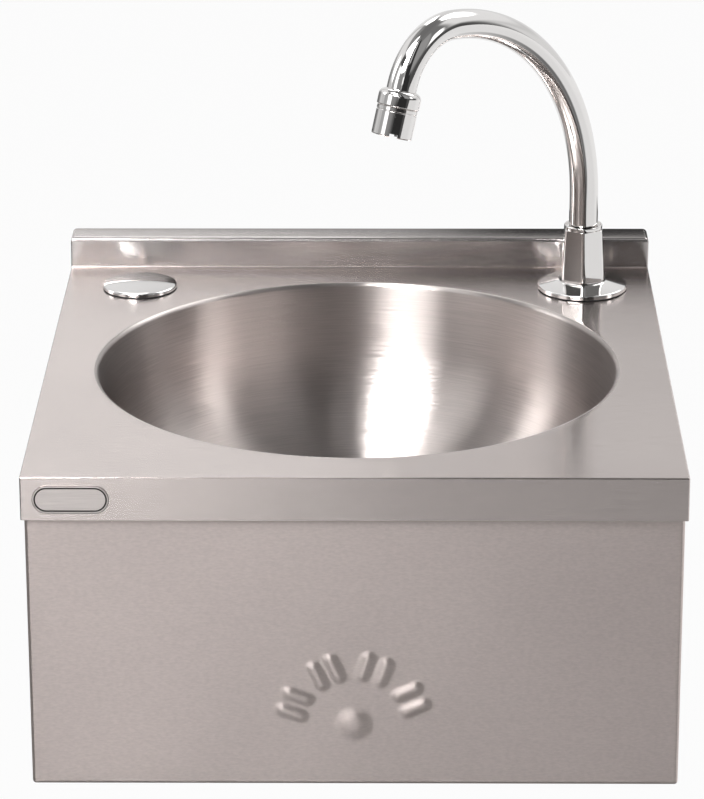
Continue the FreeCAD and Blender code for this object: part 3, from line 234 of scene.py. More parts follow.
@dataclass(frozen=True)
class Finish:
    """Colour and gloss that every finish has; each kind draws its own nodes."""

    name: str
    slot: str
    colour: Point
    roughness: float
    metallic: float = 1.0

    def material(self) -> bpy.types.Material:
        """Give the finish's material, drawn the first time it is asked for."""
        made = bpy.data.materials.get(self.name)
        if made is None:
            made = bpy.data.materials.new(self.name)
            made.use_nodes = True
            sheet, shader = NodeSheet(made.node_tree), made.node_tree.nodes["Principled BSDF"]
            for name, source in {"Metallic": self.metallic, **self.draw(sheet)}.items():
                sheet.feed(shader.inputs[name], source)
        return made

    def tones(self, spread: float) -> tuple[list[float], ...]:
        """Give a darker and a lighter tone of the colour, each a share away from it."""
        shares = (1.0 - spread, 1.0 + spread)
        return tuple([min(1.0, part * share) for part in self.colour] for share in shares)

    def draw(self, sheet: NodeSheet) -> Feeds:
        """Draw the nodes, and give what goes into the shader; each kind has its own."""
        raise NotImplementedError

    def put_on(self, piece: Piece) -> None:
        """Give a piece this finish alone."""
        piece.data.materials.clear()
        piece.data.materials.append(self.material())


@dataclass(frozen=True)
class BrushedSheet(Finish):
    """Satin stainless sheet with fine polishing lines."""

    grain: Grain = Grain.ALONG_X
    anisotropy: float = 0.8
    streak: float = 0.04
    bump: float = 0.05
    sparkle: float = 0.02
    sway: float = 0.0
    fine: Pair = (60.0, 1500.0)
    broad: Pair = (25.0, 520.0)
    axis_y: float = -0.2155

    def straight(self, sheet: NodeSheet, along: int) -> tuple[Output, ...]:
        """Draw lines along one axis.

        Args:
            sheet: where the nodes go.
            along: index of the axis.

        Returns:
            Fine lines, broad streaks and the direction of the grain.
        """
        lines = []
        for length, breadth in (self.fine, self.broad):
            scale = tuple(length if axis == along else breadth for axis in range(3))
            lines.append(sheet.noise(sheet.coordinates(scale), detail=1.5))
        waver = sheet.span(lines[0], (0.0, 1.0), (-0.04, 0.10))
        way = sheet.vector(waver, 1.0, 0.07) if along else sheet.vector(1.0, waver, 0.07)
        return lines[0], lines[1], way

    def spun(self, sheet: NodeSheet) -> tuple[Output, ...]:
        """Draw rings round the bowl.

        Args:
            sheet: where the nodes go.

        Returns:
            Fine lines, broad streaks and the direction of the grain.
        """
        x, y, z = sheet.split(sheet.coordinates(shift=(0.0, self.axis_y, 0.0)))
        reach = sheet.sum("SQRT", sheet.sum("ADD", sheet.sum("POWER", x, 2.0), sheet.sum("POWER", y, 2.0)))
        safe = sheet.sum("MAXIMUM", reach, 0.001)
        cosine, sine = sheet.sum("DIVIDE", x, safe), sheet.sum("DIVIDE", y, safe)
        travel = sheet.sum("ADD", reach, z)
        rings = []
        for around, across in (self.fine, self.broad):
            place = sheet.vector(sheet.times(cosine, around), sheet.times(sine, around),
                                 sheet.times(travel, across))
            rings.append(sheet.noise(place, detail=3.0))
        return rings[0], rings[1], sheet.vector(sheet.times(sine, -1.0), cosine, 0.02)

    def draw(self, sheet: NodeSheet) -> Feeds:
        """Draw lines, streaks and smudges.

        Args:
            sheet: where the nodes go.

        Returns:
            What goes into the shader's inputs.
        """
        if self.grain is Grain.ROUND_BOWL:
            fine, broad, way = self.spun(sheet)
        else:
            fine, broad, way = self.straight(sheet, 0 if self.grain is Grain.ALONG_X else 1)
        cloud = sheet.noise(sheet.coordinates(), scale=9.0, detail=2.0)
        tone = sheet.sum("ADD", sheet.span(fine, (0.28, 0.72), (0.0, 0.8)), sheet.times(broad, 0.2))
        gloss = sheet.sum("ADD", sheet.span(fine, (0.25, 0.75), (-self.sparkle, self.sparkle)),
                          sheet.span(cloud, (0.3, 0.7), (-0.015, 0.015)))
        normal = sheet.relief(fine, self.bump, 0.0002)
        if self.sway:
            normal = sheet.lean(normal, way, sheet.span(fine, (0.25, 0.75), (-self.sway, self.sway)))
        return {"Base Color": sheet.shades(tone, *self.tones(self.streak * 2.0)),
                "Roughness": sheet.sum("ADD", gloss, self.roughness), "Normal": normal, "Tangent": way,
                "Anisotropic": self.anisotropy, "Anisotropic Rotation": 0.25}


@dataclass(frozen=True)
class Plating(Finish):
    """Polished chrome plate with faint wipe marks and a slight ripple."""

    def draw(self, sheet: NodeSheet) -> Feeds:
        """Draw wipe marks, ripple and water spots.

        Args:
            sheet: where the nodes go.

        Returns:
            What goes into the shader's inputs.
        """
        wipe = sheet.noise(sheet.coordinates(), scale=38.0, detail=3.0)
        spots = sheet.noise(sheet.coordinates(), scale=420.0, detail=1.0)
        ripple = sheet.noise(sheet.coordinates(), scale=60.0, detail=1.0)
        haze = sheet.sum("ADD", sheet.span(wipe, (0.45, 0.75), (0.0, 0.035)),
                         sheet.span(spots, (0.66, 0.72), (0.0, 0.05)))
        return {"Base Color": sheet.shades(wipe, *self.tones(0.03)),
                "Roughness": sheet.sum("ADD", haze, self.roughness),
                "Normal": sheet.relief(ripple, 0.04, 0.0004)}


@dataclass(frozen=True)
class PlainMetal(Finish):
    """Unpolished metal: plated steel, cast brass or drawn pipe."""

    grit: float = 900.0

    def draw(self, sheet: NodeSheet) -> Feeds:
        """Draw fine grit, dull patches and bright worn edges.

        Args:
            sheet: where the nodes go.

        Returns:
            What goes into the shader's inputs.
        """
        grit = sheet.noise(sheet.coordinates(), scale=self.grit, detail=4.0)
        patch = sheet.noise(sheet.coordinates(), scale=55.0, detail=3.0)
        worn = sheet.edges()
        tone = sheet.sum("ADD", sheet.times(grit, 0.3), sheet.times(patch, 0.7))
        tone = sheet.sum("ADD", tone, sheet.times(worn, 0.6))
        dull = sheet.span(patch, (0.3, 0.7), (self.roughness - 0.07, self.roughness + 0.09))
        return {"Base Color": sheet.shades(tone, *self.tones(0.22)),
                "Roughness": sheet.sum("SUBTRACT", dull, sheet.times(worn, 0.1)),
                "Normal": sheet.relief(grit, 0.16)}


@dataclass(frozen=True)
class Moulding(Finish):
    """Moulded nylon, rubber or waste plastic."""

    metallic: float = 0.0
    pore: float = 1400.0

    def draw(self, sheet: NodeSheet) -> Feeds:
        """Draw fine pores, flow clouds and chalky edges.

        Args:
            sheet: where the nodes go.

        Returns:
            What goes into the shader's inputs.
        """
        pores = sheet.noise(sheet.coordinates(), scale=self.pore, detail=3.0)
        flow = sheet.noise(sheet.coordinates(), scale=48.0, detail=2.0)
        worn = sheet.edges()
        tone = sheet.sum("ADD", flow, sheet.times(worn, 0.5))
        dull = sheet.span(flow, (0.3, 0.7), (self.roughness - 0.06, self.roughness + 0.08))
        return {"Base Color": sheet.shades(tone, *self.tones(0.16)), "Roughness": dull,
                "Normal": sheet.relief(pores, 0.12), "Specular IOR Level": 0.45}


STEEL = (0.655, 0.590, 0.567)
# The panel's steel is a warmer, slightly darker copy of the deck's: painted shade, the warm tint that
# shaded steel takes.
PANEL_STEEL = (0.655, 0.573, 0.545)
# Painted shade: the bowl's steel is a darker copy of the deck's, standing in for the shade in the hollow of
# the bowl.
BOWL_SHADED_STEEL = (0.47, 0.430, 0.414)
UPSTAND_STEEL = (0.640, 0.601, 0.588)
DECK_SHEET = BrushedSheet("deck_brushed_sheet", "brushed_sheet", STEEL, 0.18, anisotropy=1.0)
UPSTAND_SHEET = BrushedSheet("upstand_brushed_sheet", "brushed_sheet", UPSTAND_STEEL, 0.18, anisotropy=0.98,
                             streak=0.05)
# The bowl's spun sheet takes the darker steel: painted shade.
BOWL_SHEET = BrushedSheet("bowl_spun_shaded_sheet", "brushed_sheet", BOWL_SHADED_STEEL, 0.31, grain=Grain.ROUND_BOWL,
                          anisotropy=1.0, streak=0.07, bump=0.22, sparkle=0.015, sway=0.03,
                          fine=(5.0, 1300.0), broad=(1.2, 260.0))
PANEL_SHEET = BrushedSheet("panel_brushed_sheet", "brushed_sheet", PANEL_STEEL, 0.305, anisotropy=0.85,
                           streak=0.035, bump=0.0, sparkle=0.006, fine=(330.0, 900.0))
CHEEK_SHEET = BrushedSheet("cheek_brushed_sheet", "brushed_sheet", STEEL, 0.34, grain=Grain.ALONG_Y,
                           anisotropy=0.6)
BACK_SHEET = BrushedSheet("back_brushed_sheet", "brushed_sheet", STEEL, 0.34, anisotropy=0.6)
CHROME = Plating("chrome_plate", "chrome_trim", (0.80, 0.785, 0.775), 0.035)
PLATE_FACE = BrushedSheet("lip_plate_face", "brushed_sheet", (0.63, 0.58, 0.56), 0.33)
PLATE_LINE = PlainMetal("lip_plate_line", "brushed_sheet", (0.05, 0.047, 0.045), 0.5)
ZINC = PlainMetal("zinc_plated_steel", "zinc_hardware", (0.62, 0.63, 0.65), 0.34)
BRASS = PlainMetal("valve_brass", "valve_brass", (0.70, 0.50, 0.22), 0.32, grit=700.0)
PIPE = PlainMetal("drawn_pipe", "steel_pipe", (0.60, 0.575, 0.56), 0.30, grit=1200.0)
RUBBER = Moulding("seal_rubber", "rubber_seal", (0.028, 0.028, 0.03), 0.62)
NYLON = Moulding("nylon", "nylon", (0.80, 0.79, 0.75), 0.42)
PLASTIC = Moulding("waste_plastic", "waste_plastic", (0.74, 0.74, 0.73), 0.38)


class Bench:
    """Modelling steps that the sub-assemblies share, in millimetres."""

    @staticmethod
    def clear() -> None:
        """Leave edit mode and deselect every object."""
        if bpy.context.mode != "OBJECT":
            bpy.ops.object.mode_set(mode="OBJECT")
        bpy.ops.object.select_all(action="DESELECT")

    @staticmethod
    def hold(piece: Piece) -> None:
        """Make one piece the only selected and the active object."""
        Bench.clear()
        piece.select_set(True)
        bpy.context.view_layer.objects.active = piece

    @staticmethod
    def edit(piece: Piece, everything: bool = False) -> None:
        """Open a piece in edit mode.

        Args:
            piece: the object.
            everything: start with all of it selected, or with nothing.
        """
        Bench.hold(piece)
        bpy.ops.object.mode_set(mode="EDIT")
        bpy.ops.mesh.select_all(action="SELECT" if everything else "DESELECT")

    @staticmethod
    def added(name: str) -> Piece:
        """Name the primitive that was just added and apply its place."""
        piece = bpy.context.active_object
        piece.name = name
        piece.data.name = name
        bpy.ops.object.transform_apply(location=True, rotation=True, scale=True)
        return piece

    @staticmethod
    def block(name: str, low: Point, high: Point) -> Piece:
        """Add a block.

        Args:
            name: the piece's name.
            low: lowest corner.
            high: highest corner.

        Returns:
            The piece.
        """
        Bench.clear()
        middle = [(a + b) / 2 * MM for a, b in zip(low, high)]
        bpy.ops.mesh.primitive_cube_add(size=1.0, location=middle)
        bpy.context.active_object.scale = [(b - a) * MM for a, b in zip(low, high)]
        return Bench.added(name)

    @staticmethod
    def pick(piece: Piece, test: Test, folds: bool = False) -> None:
        """Select faces, or folded edges, in edit mode.

        Args:
            piece: the object in edit mode.
            test: called with each face's centre and normal, or each fold's two ends, in millimetres.
            folds: take the edges between two faces at an angle.
        """
        bpy.ops.mesh.select_mode(type="EDGE" if folds else "FACE")
        bpy.ops.mesh.select_all(action="DESELECT")
        mesh = bmesh.from_edit_mesh(piece.data)
        for edge in mesh.edges if folds else ():
            bent = len(edge.link_faces) == 2 and edge.calc_face_angle(0.0) > FOLD_TURN
            edge.select_set(bent and test(edge.verts[0].co / MM, edge.verts[1].co / MM))
        for face in () if folds else mesh.faces:
            face.select_set(test(face.calc_center_median() / MM, face.normal))
        bmesh.update_edit_mesh(piece.data)

    @staticmethod
    def pull(way: Point) -> None:
        """Extrude the selected faces along a way, in edit mode."""
        bpy.ops.mesh.extrude_region_move(TRANSFORM_OT_translate={"value": [part * MM for part in way]})

    @staticmethod
    def modify(piece: Piece, kind: str, **settings: object) -> None:
        """Add a modifier and apply it.

        Args:
            piece: the object.
            kind: Blender's name of the modifier type.
            settings: attributes to set on it.
        """
        Bench.hold(piece)
        modifier = piece.modifiers.new(kind.lower(), kind)
        for name, setting in settings.items():
            setattr(modifier, name, setting)
        bpy.ops.object.modifier_apply(modifier=modifier.name)

    @staticmethod
    def soften(piece: Piece, width: float, steps: int = 2, angle: float = CREASE) -> None:
        """Bevel the edges of a piece that are sharper than an angle."""
        Bench.modify(piece, "BEVEL", width=width * MM, segments=steps, limit_method="ANGLE",
                     angle_limit=math.radians(angle), use_clamp_overlap=True)

    @staticmethod
    def smooth(piece: Piece, angle: float = CREASE, weighted: bool = True) -> None:
        """Shade a piece smooth between its sharp edges.

        Args:
            piece: the object.
            angle: smallest angle that stays sharp.
            weighted: let large faces hold their own direction.
        """
        Bench.hold(piece)
        bpy.ops.object.shade_smooth_by_angle(angle=math.radians(angle))
        if weighted:
            Bench.modify(piece, "WEIGHTED_NORMAL", keep_sharp=True, weight=80)

    @staticmethod
    def cut(piece: Piece, cutter: Piece, way: str = "DIFFERENCE") -> None:
        """Cut a piece with another, or do another Boolean operation, and remove the cutter."""
        Bench.modify(piece, "BOOLEAN", object=cutter, operation=way, solver="EXACT")
        bpy.data.objects.remove(cutter, do_unlink=True)

    @staticmethod
    def join(piece: Piece, others: Sequence[Piece]) -> None:
        """Join other objects into a piece."""
        Bench.hold(piece)
        for other in others:
            other.select_set(True)
        bpy.ops.object.join()

    @staticmethod
    def close(piece: Piece) -> None:
        """Merge doubled points and turn all faces outwards."""
        Bench.edit(piece, everything=True)
        bpy.ops.mesh.remove_doubles(threshold=MERGE_GAP)
        bpy.ops.mesh.normals_make_consistent(inside=False)
        bpy.ops.object.mode_set(mode="OBJECT")

    @staticmethod
    def lathe(name: str, profile: Profile, at: Point = (0.0, 0.0, 0.0), segments: int = FACETS,
              ring: bool = True) -> Piece:
        """Turn a profile round an upright axis by extruding one ring after another.

        Args:
            name: the piece's name.
            profile: radius and height of each ring; a last radius of 0 closes at a pole.
            at: place of the axis, and the height that 0 stands for.
            segments: points in each ring.
            ring: go back to the first ring at the end, and otherwise cap both ends.

        Returns:
            The closed piece.
        """
        Bench.clear()
        x, y, base = (value * MM for value in at)
        rows = list(profile) + ([profile[0]] if ring else [])
        radius, height = rows[0][0] * MM, base + rows[0][1] * MM
        bpy.ops.mesh.primitive_circle_add(vertices=segments, radius=radius, location=(x, y, height),
                                          fill_type="NOTHING" if ring else "NGON")
        piece = Bench.added(name)
        Bench.edit(piece, everything=True)
        bpy.ops.mesh.select_mode(type="EDGE")
        for next_radius, next_height in rows[1:]:
            goal, level = next_radius * MM, base + next_height * MM
            bpy.ops.mesh.extrude_edges_move(TRANSFORM_OT_translate={"value": (0.0, 0.0, level - height)})
            if goal == 0.0:
                bpy.ops.mesh.merge(type="CENTER")
                break
            share = goal / radius
            bpy.ops.transform.resize(value=(share, share, 1.0), center_override=(x, y, level))
            radius, height = goal, level
        else:
            if not ring:
                bpy.ops.mesh.edge_face_add()
        Bench.close(piece)
        return piece

    @staticmethod
    def drill(piece: Piece, radius: float, heights: Pair, at: Point, segments: int) -> None:
        """Bore an upright round hole between two heights."""
        rod = Bench.lathe("drill", [(radius, height) for height in heights], at, segments, ring=False)
        Bench.cut(piece, rod)

    @staticmethod
    def divide(piece: Piece, test: Test, cuts: Sequence[tuple[int, float]]) -> None:
        """Divide faces along planes, in edit mode.

        Args:
            piece: the object in edit mode.
            test: picks the faces, as for pick.
            cuts: axis and place of each plane.
        """
        for axis, level in cuts:
            Bench.pick(piece, test)
            normal = [float(i == axis) for i in range(3)]
            bpy.ops.mesh.bisect(plane_co=[n * level * MM for n in normal], plane_no=normal)

    @staticmethod
    def arc(centre: Pair, radius: float, start: float, end: float, steps: int) -> list[Pair]:
        """Give the rows of a profile along an arc.

        Args:
            centre: its centre, as radius and height.
            radius: its radius.
            start: first angle in degrees.
            end: last angle in degrees.
            steps: number of chords.

        Returns:
            The rows, both ends among them.
        """
        x, z = centre
        turns = (math.radians(start + (end - start) * step / steps) for step in range(steps + 1))
        return [(x + radius * math.cos(turn), z + radius * math.sin(turn)) for turn in turns]

    @staticmethod
    def thread(radius: float, start: float, end: float, pitch: float, depth: float) -> list[Pair]:
        """Give the rows of a cut thread.

        Args:
            radius: outer radius.
            start: height where it starts.
            end: height where it ends.
            pitch: distance between crests.
            depth: depth of the roots.

        Returns:
            The rows from start to end.
        """
        count = max(1, int(abs(end - start) / pitch))
        step = (end - start) / count
        rows = []
        for turn in range(count):
            low = start + turn * step
            rows += [(radius - depth, low), (radius, low + step * 0.4), (radius, low + step * 0.6)]
        return rows + [(radius - depth, end)]

    @staticmethod
    def place(piece: Piece, matrix: Matrix) -> None:
        """Move a piece's mesh by a matrix, with the object left at the origin."""
        Bench.hold(piece)
        piece.matrix_world = matrix
        bpy.ops.object.transform_apply(location=True, rotation=True, scale=True)

    @staticmethod
    def copy_node(node: str, bevel: float) -> Piece:
        """Copy a node of the frame into a piece with merged faces and softened edges.

        Args:
            node: the node's name.
            bevel: width of its edge bevels, or 0 for none.

        Returns:
            The piece.
        """
        Bench.clear()
        piece = bpy.data.objects.new(node + "_dressed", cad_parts[node].data.copy())
        bpy.context.scene.collection.objects.link(piece)
        Bench.edit(piece, everything=True)
        bpy.ops.mesh.customdata_custom_splitnormals_clear()
        bpy.ops.mesh.remove_doubles(threshold=MERGE_GAP)
        bpy.ops.mesh.dissolve_limited(angle_limit=FLAT_TURN)
        if bevel:
            Bench.soften(piece, bevel)
        Bench.smooth(piece)
        return piece


class SubAssembly:
    """A group of pieces that are built, dressed and set on their bodies together."""

    def settle(self, piece: Piece, finish: Finish, body: Body, *nodes: str) -> None:
        """Dress a piece, set it on its body and let it stand for nodes of the frame.

        Args:
            piece: the finished mesh.
            finish: its material.
            body: what it moves with.
            nodes: the nodes that it stands for.
        """
        finish.put_on(piece)
        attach(piece, body.value)
        if nodes:
            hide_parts(*nodes)
        LOG.info("%s: %d faces on %s", piece.name, len(piece.data.polygons), body.value)

    @staticmethod
    def dress_part(piece: Piece, finish: Finish, test: Test) -> None:
        """Give some faces of a settled piece a second finish.

        Args:
            piece: the piece.
            finish: the second finish.
            test: called with each face's centre in millimetres and its normal.
        """
        piece.data.materials.append(finish.material())
        for face in piece.data.polygons:
            if test(face.center / MM, face.normal):
                face.material_index = 1

    def settle_copies(self, body: Body, rows: Sequence[tuple[str, Finish, float]]) -> None:
        """Dress copies of nodes whose own shape is right.

        Args:
            body: what they move with.
            rows: node, finish and bevel width of each.
        """
        for node, finish, bevel in rows:
            self.settle(Bench.copy_node(node, bevel), finish, body, node)

    def build(self) -> None:
        """Build and dress the group's pieces; each group has its own."""
        raise NotImplementedError


@dataclass
class BasinTop(SubAssembly):
    """Folded deck with its upstand, the spun bowl and the bare plate on the lip."""

    half_width: float = 192.5
    front: float = -410.0
    top: float = 100.0
    lip: float = 26.0
    upstand_front: float = -21.0
    upstand_rise: float = 20.6
    sheet: float = 1.2
    fold: float = 0.9
    foot_fold: float = 1.2
    crest_fold: float = 3.0
    lip_spring: float = 1.2
    bowl_y: float = -215.5
    weld_radius: float = 167.0
    rim_flat: float = 4.0
    rim: float = 3.0
    taper: float = 4.0
    knuckle: float = 92.02
    slope: float = 5.0
    depth: float = 128.0
    recess: float = 36.0
    recess_steps: Profile = ((14.0, 1.22), (2.0, 0.17), (0.7, -0.1), (-0.1, -0.8), (-1.8, -3.3),
                             (-2.7, -4.0))
    waste_hole: float = 22.5
    tap_x: float = 146.5
    cap_x: float = -144.0
    tap_y: float = -64.0
    tap_radius: float = 14.0
    drilled: Pair = (60.0, 140.0)
    stud_x: float = 175.0
    stud_rows: Pair = (-330.0, -110.0)
    plate_middle: Point = (-163.3, -410.0, 86.6)
    plate_half: Pair = (22.2, 8.4)
    plate_gauge: float = 0.55
    plate_steps: Profile = ((0.3, -0.15), (0.75, 0.0), (0.12, 0.12), (0.7, 0.0), (0.12, -0.12))

    def build_deck(self) -> Piece:
        """Fold the deck from one block and cut its openings.

        Returns:
            The deck.
        """
        low = (-self.half_width, self.front, self.top - self.lip)
        piece = Bench.block("deck_skin", low, (self.half_width, 0.0, self.top))
        Bench.edit(piece, everything=True)
        bpy.ops.mesh.bisect(plane_co=(0.0, self.upstand_front * MM, 0.0), plane_no=(0.0, 1.0, 0.0))
        Bench.pick(piece, lambda middle, normal: normal.z > FACING and middle.y > self.upstand_front)
        Bench.pull((0.0, 0.0, self.upstand_rise))
        Bench.pick(piece, lambda middle, normal: normal.z < -FACING or normal.y > FACING)
        bpy.ops.mesh.delete(type="FACE")
        bpy.ops.mesh.select_all(action="SELECT")
        bpy.ops.mesh.dissolve_limited(angle_limit=math.radians(1.0))
        self.bend_folds(piece)
        self.open_lip(piece)
        Bench.modify(piece, "SOLIDIFY", thickness=self.sheet * MM, offset=-1.0, use_even_offset=True)
        Bench.drill(piece, self.weld_radius, self.drilled, (0.0, self.bowl_y, 0.0), WIDE_FACETS)
        for x in (self.tap_x, self.cap_x):
            Bench.drill(piece, self.tap_radius, self.drilled, (x, self.tap_y, 0.0), HOLE_FACETS)
        studs = [self.build_stud(side * self.stud_x, row) for side in (-1.0, 1.0) for row in self.stud_rows]
        Bench.smooth(piece, SHEET_CREASE)
        Bench.join(piece, studs)
        return piece

    def bend_folds(self, piece: Piece) -> None:
        """Round the folds: tight at the upstand's foot, wide round its top.

        Args:
            piece: the deck's skin, in edit mode.
        """
        mesh = bmesh.from_edit_mesh(piece.data)
        weight = mesh.edges.layers.float.new("bevel_weight_edge")
        crest = self.top + self.upstand_rise
        for edge in mesh.edges:
            if len(edge.link_faces) == 2:
                ends = [vertex.co / MM for vertex in edge.verts]
                high = all(abs(end.z - crest) < NEAR for end in ends)
                level = all(abs(end.z - self.top) < NEAR for end in ends)
                foot = level and all(abs(end.y - self.upstand_front) < NEAR for end in ends)
                fold = self.foot_fold if foot else self.fold
                edge[weight] = 1.0 if high else fold / self.crest_fold
        bmesh.update_edit_mesh(piece.data)
        Bench.modify(piece, "BEVEL", width=self.crest_fold * MM, segments=6, limit_method="WEIGHT",
                     offset_type="OFFSET")

    def open_lip(self, piece: Piece) -> None:
        """Spring the foot of the front lip out a little, as a folded lip does.

        Args:
            piece: the deck's skin.
        """
        Bench.edit(piece)
        mesh = bmesh.from_edit_mesh(piece.data)
        foot = self.top - self.lip
        for vertex in mesh.verts:
            ahead = (self.front + self.fold) - vertex.co.y / MM
            if vertex.co.z / MM < foot + 1.0 and ahead > 0.0:
                vertex.co.y -= self.lip_spring * ahead / self.fold * MM
        bmesh.update_edit_mesh(piece.data)

    def build_stud(self, x: float, y: float) -> Piece:
        """Turn one threaded weld stud under the deck.

        Args:
            x: its place across.
            y: its place in depth.

        Returns:
            The stud.
        """
        under = self.top - self.sheet
        rows = [(4.2, under), (4.2, under - 0.8)] + Bench.thread(3.0, under - 0.8, under - 15.5, 1.0, 0.5)
        rows += [(2.2, under - 16.0), (0.0, under - 16.0)]
        stud = Bench.lathe("weld_stud", rows, (x, y, 0.0), STUD_FACETS, ring=False)
        Bench.smooth(stud)
        return stud

    def build_bowl(self) -> Piece:
        """Spin the bowl: flat weld, rolled rim, tapered wall, knuckle, floor and waste recess.

        Returns:
            The bowl.
        """
        gauge, top = self.sheet, self.top
        taper, slope = math.radians(self.taper), math.radians(self.slope)
        start = self.weld_radius - self.rim_flat
        wall_x, wall_z = start - self.rim * math.cos(taper), -self.rim + self.rim * math.sin(taper)
        level = self.knuckle * math.cos(slope) - self.depth
        level += (self.knuckle * math.sin(slope) - self.recess) * math.tan(slope)
        reach = wall_x - self.knuckle * math.cos(taper)
        reach -= math.tan(taper) * (wall_z + self.knuckle * math.sin(taper))
        reach = (reach + math.tan(taper) * level) / (1.0 - math.tan(taper) * math.tan(slope))
        heart = (reach, top + level + reach * math.tan(slope))
        lip, floor = (start, top - self.rim), top - self.depth
        inside = [(self.weld_radius, top)] + Bench.arc(lip, self.rim, 90.0, 180.0 - self.taper, 12)
        bend = Bench.arc(heart, self.knuckle, -self.taper, self.slope - 90.0, 44)
        inside += [tuple(a + (b - a) * k / 6 for a, b in zip(inside[-1], bend[0])) for k in range(1, 6)]
        inside += bend + [(self.recess + out, floor + rise) for out, rise in self.recess_steps]
        seat = floor + self.recess_steps[-1][1]
        inside += [(28.0, seat), (self.waste_hole, seat)]
        outside = [(radius, seat - gauge) for radius in (self.waste_hole, 28.0, 33.9)]
        outside += [(self.recess + 0.6, floor - 1.35)]
        outside += Bench.arc(heart, self.knuckle + gauge, self.slope - 90.0, -self.taper, 44)
        outside += Bench.arc(lip, self.rim - gauge, 180.0 - self.taper, 90.0, 12)
        outside += [(self.weld_radius, top - gauge)]
        piece = Bench.lathe("bowl_skin", inside + outside, (0.0, self.bowl_y, 0.0), WIDE_FACETS)
        Bench.smooth(piece, SHEET_CREASE, weighted=False)
        return piece

    def build_plate(self) -> Piece:
        """Press the bare plate: a long round-ended plate with a framed face.

        Returns:
            The plate.
        """
        Bench.clear()
        half_length, half_height = self.plate_half
        bpy.ops.mesh.primitive_circle_add(vertices=TUBE_FACETS, radius=half_height * MM, fill_type="NGON",
                                          location=(0.0, 0.0, 0.0), rotation=(math.radians(90.0), 0.0, 0.0))
        piece = Bench.added("lip_plate")
        shift = half_length - half_height
        for vertex in piece.data.vertices:
            if abs(vertex.co.x) > MERGE_GAP:
                vertex.co.x += math.copysign(shift * MM, vertex.co.x)
        Bench.edit(piece, everything=True)
        bpy.ops.mesh.select_mode(type="FACE")
        Bench.pull((0.0, -self.plate_gauge, 0.0))
        for inset, step in self.plate_steps:
            bpy.ops.mesh.inset(thickness=inset * MM, depth=0.0)
            bpy.ops.transform.translate(value=(0.0, step * MM, 0.0))
        Bench.close(piece)
        Bench.smooth(piece, TURNED_CREASE)
        Bench.place(piece, self.plate_frame())
        return piece

    def plate_frame(self) -> Matrix:
        """Give the plate's frame on the sprung lip, in metres."""
        lean = self.lip_spring / (self.lip - self.fold)
        out = lean * (self.top - self.fold - self.plate_middle[2])
        place = Vector(self.plate_middle) + Vector((0.0, -out, 0.0))
        return Matrix.Translation(place * MM) @ Matrix.Rotation(-math.atan(lean), 4, "X")

    def build(self) -> None:
        """Build the deck, the bowl and the plate."""
        deck = self.build_deck()
        self.settle(deck, DECK_SHEET, Body.BASIN, "deck")
        self.dress_part(deck, UPSTAND_SHEET, lambda middle, normal: middle.z > self.top + self.foot_fold)
        bowl, plate = self.build_bowl(), self.build_plate()
        self.settle(bowl, BOWL_SHEET, Body.BASIN, "bowl")
        self.dress_part(bowl, DECK_SHEET, lambda middle, normal: normal.z > SQUARE_ON
                        and middle.z > self.top - NEAR)
        self.settle(plate, PLATE_FACE, Body.BASIN)
        level = self.plate_frame().inverted()
        self.dress_part(plate, PLATE_LINE, lambda middle, normal: normal.y < -0.5
                        and abs((level @ (middle * MM)).y / MM + 0.58) < 0.08)


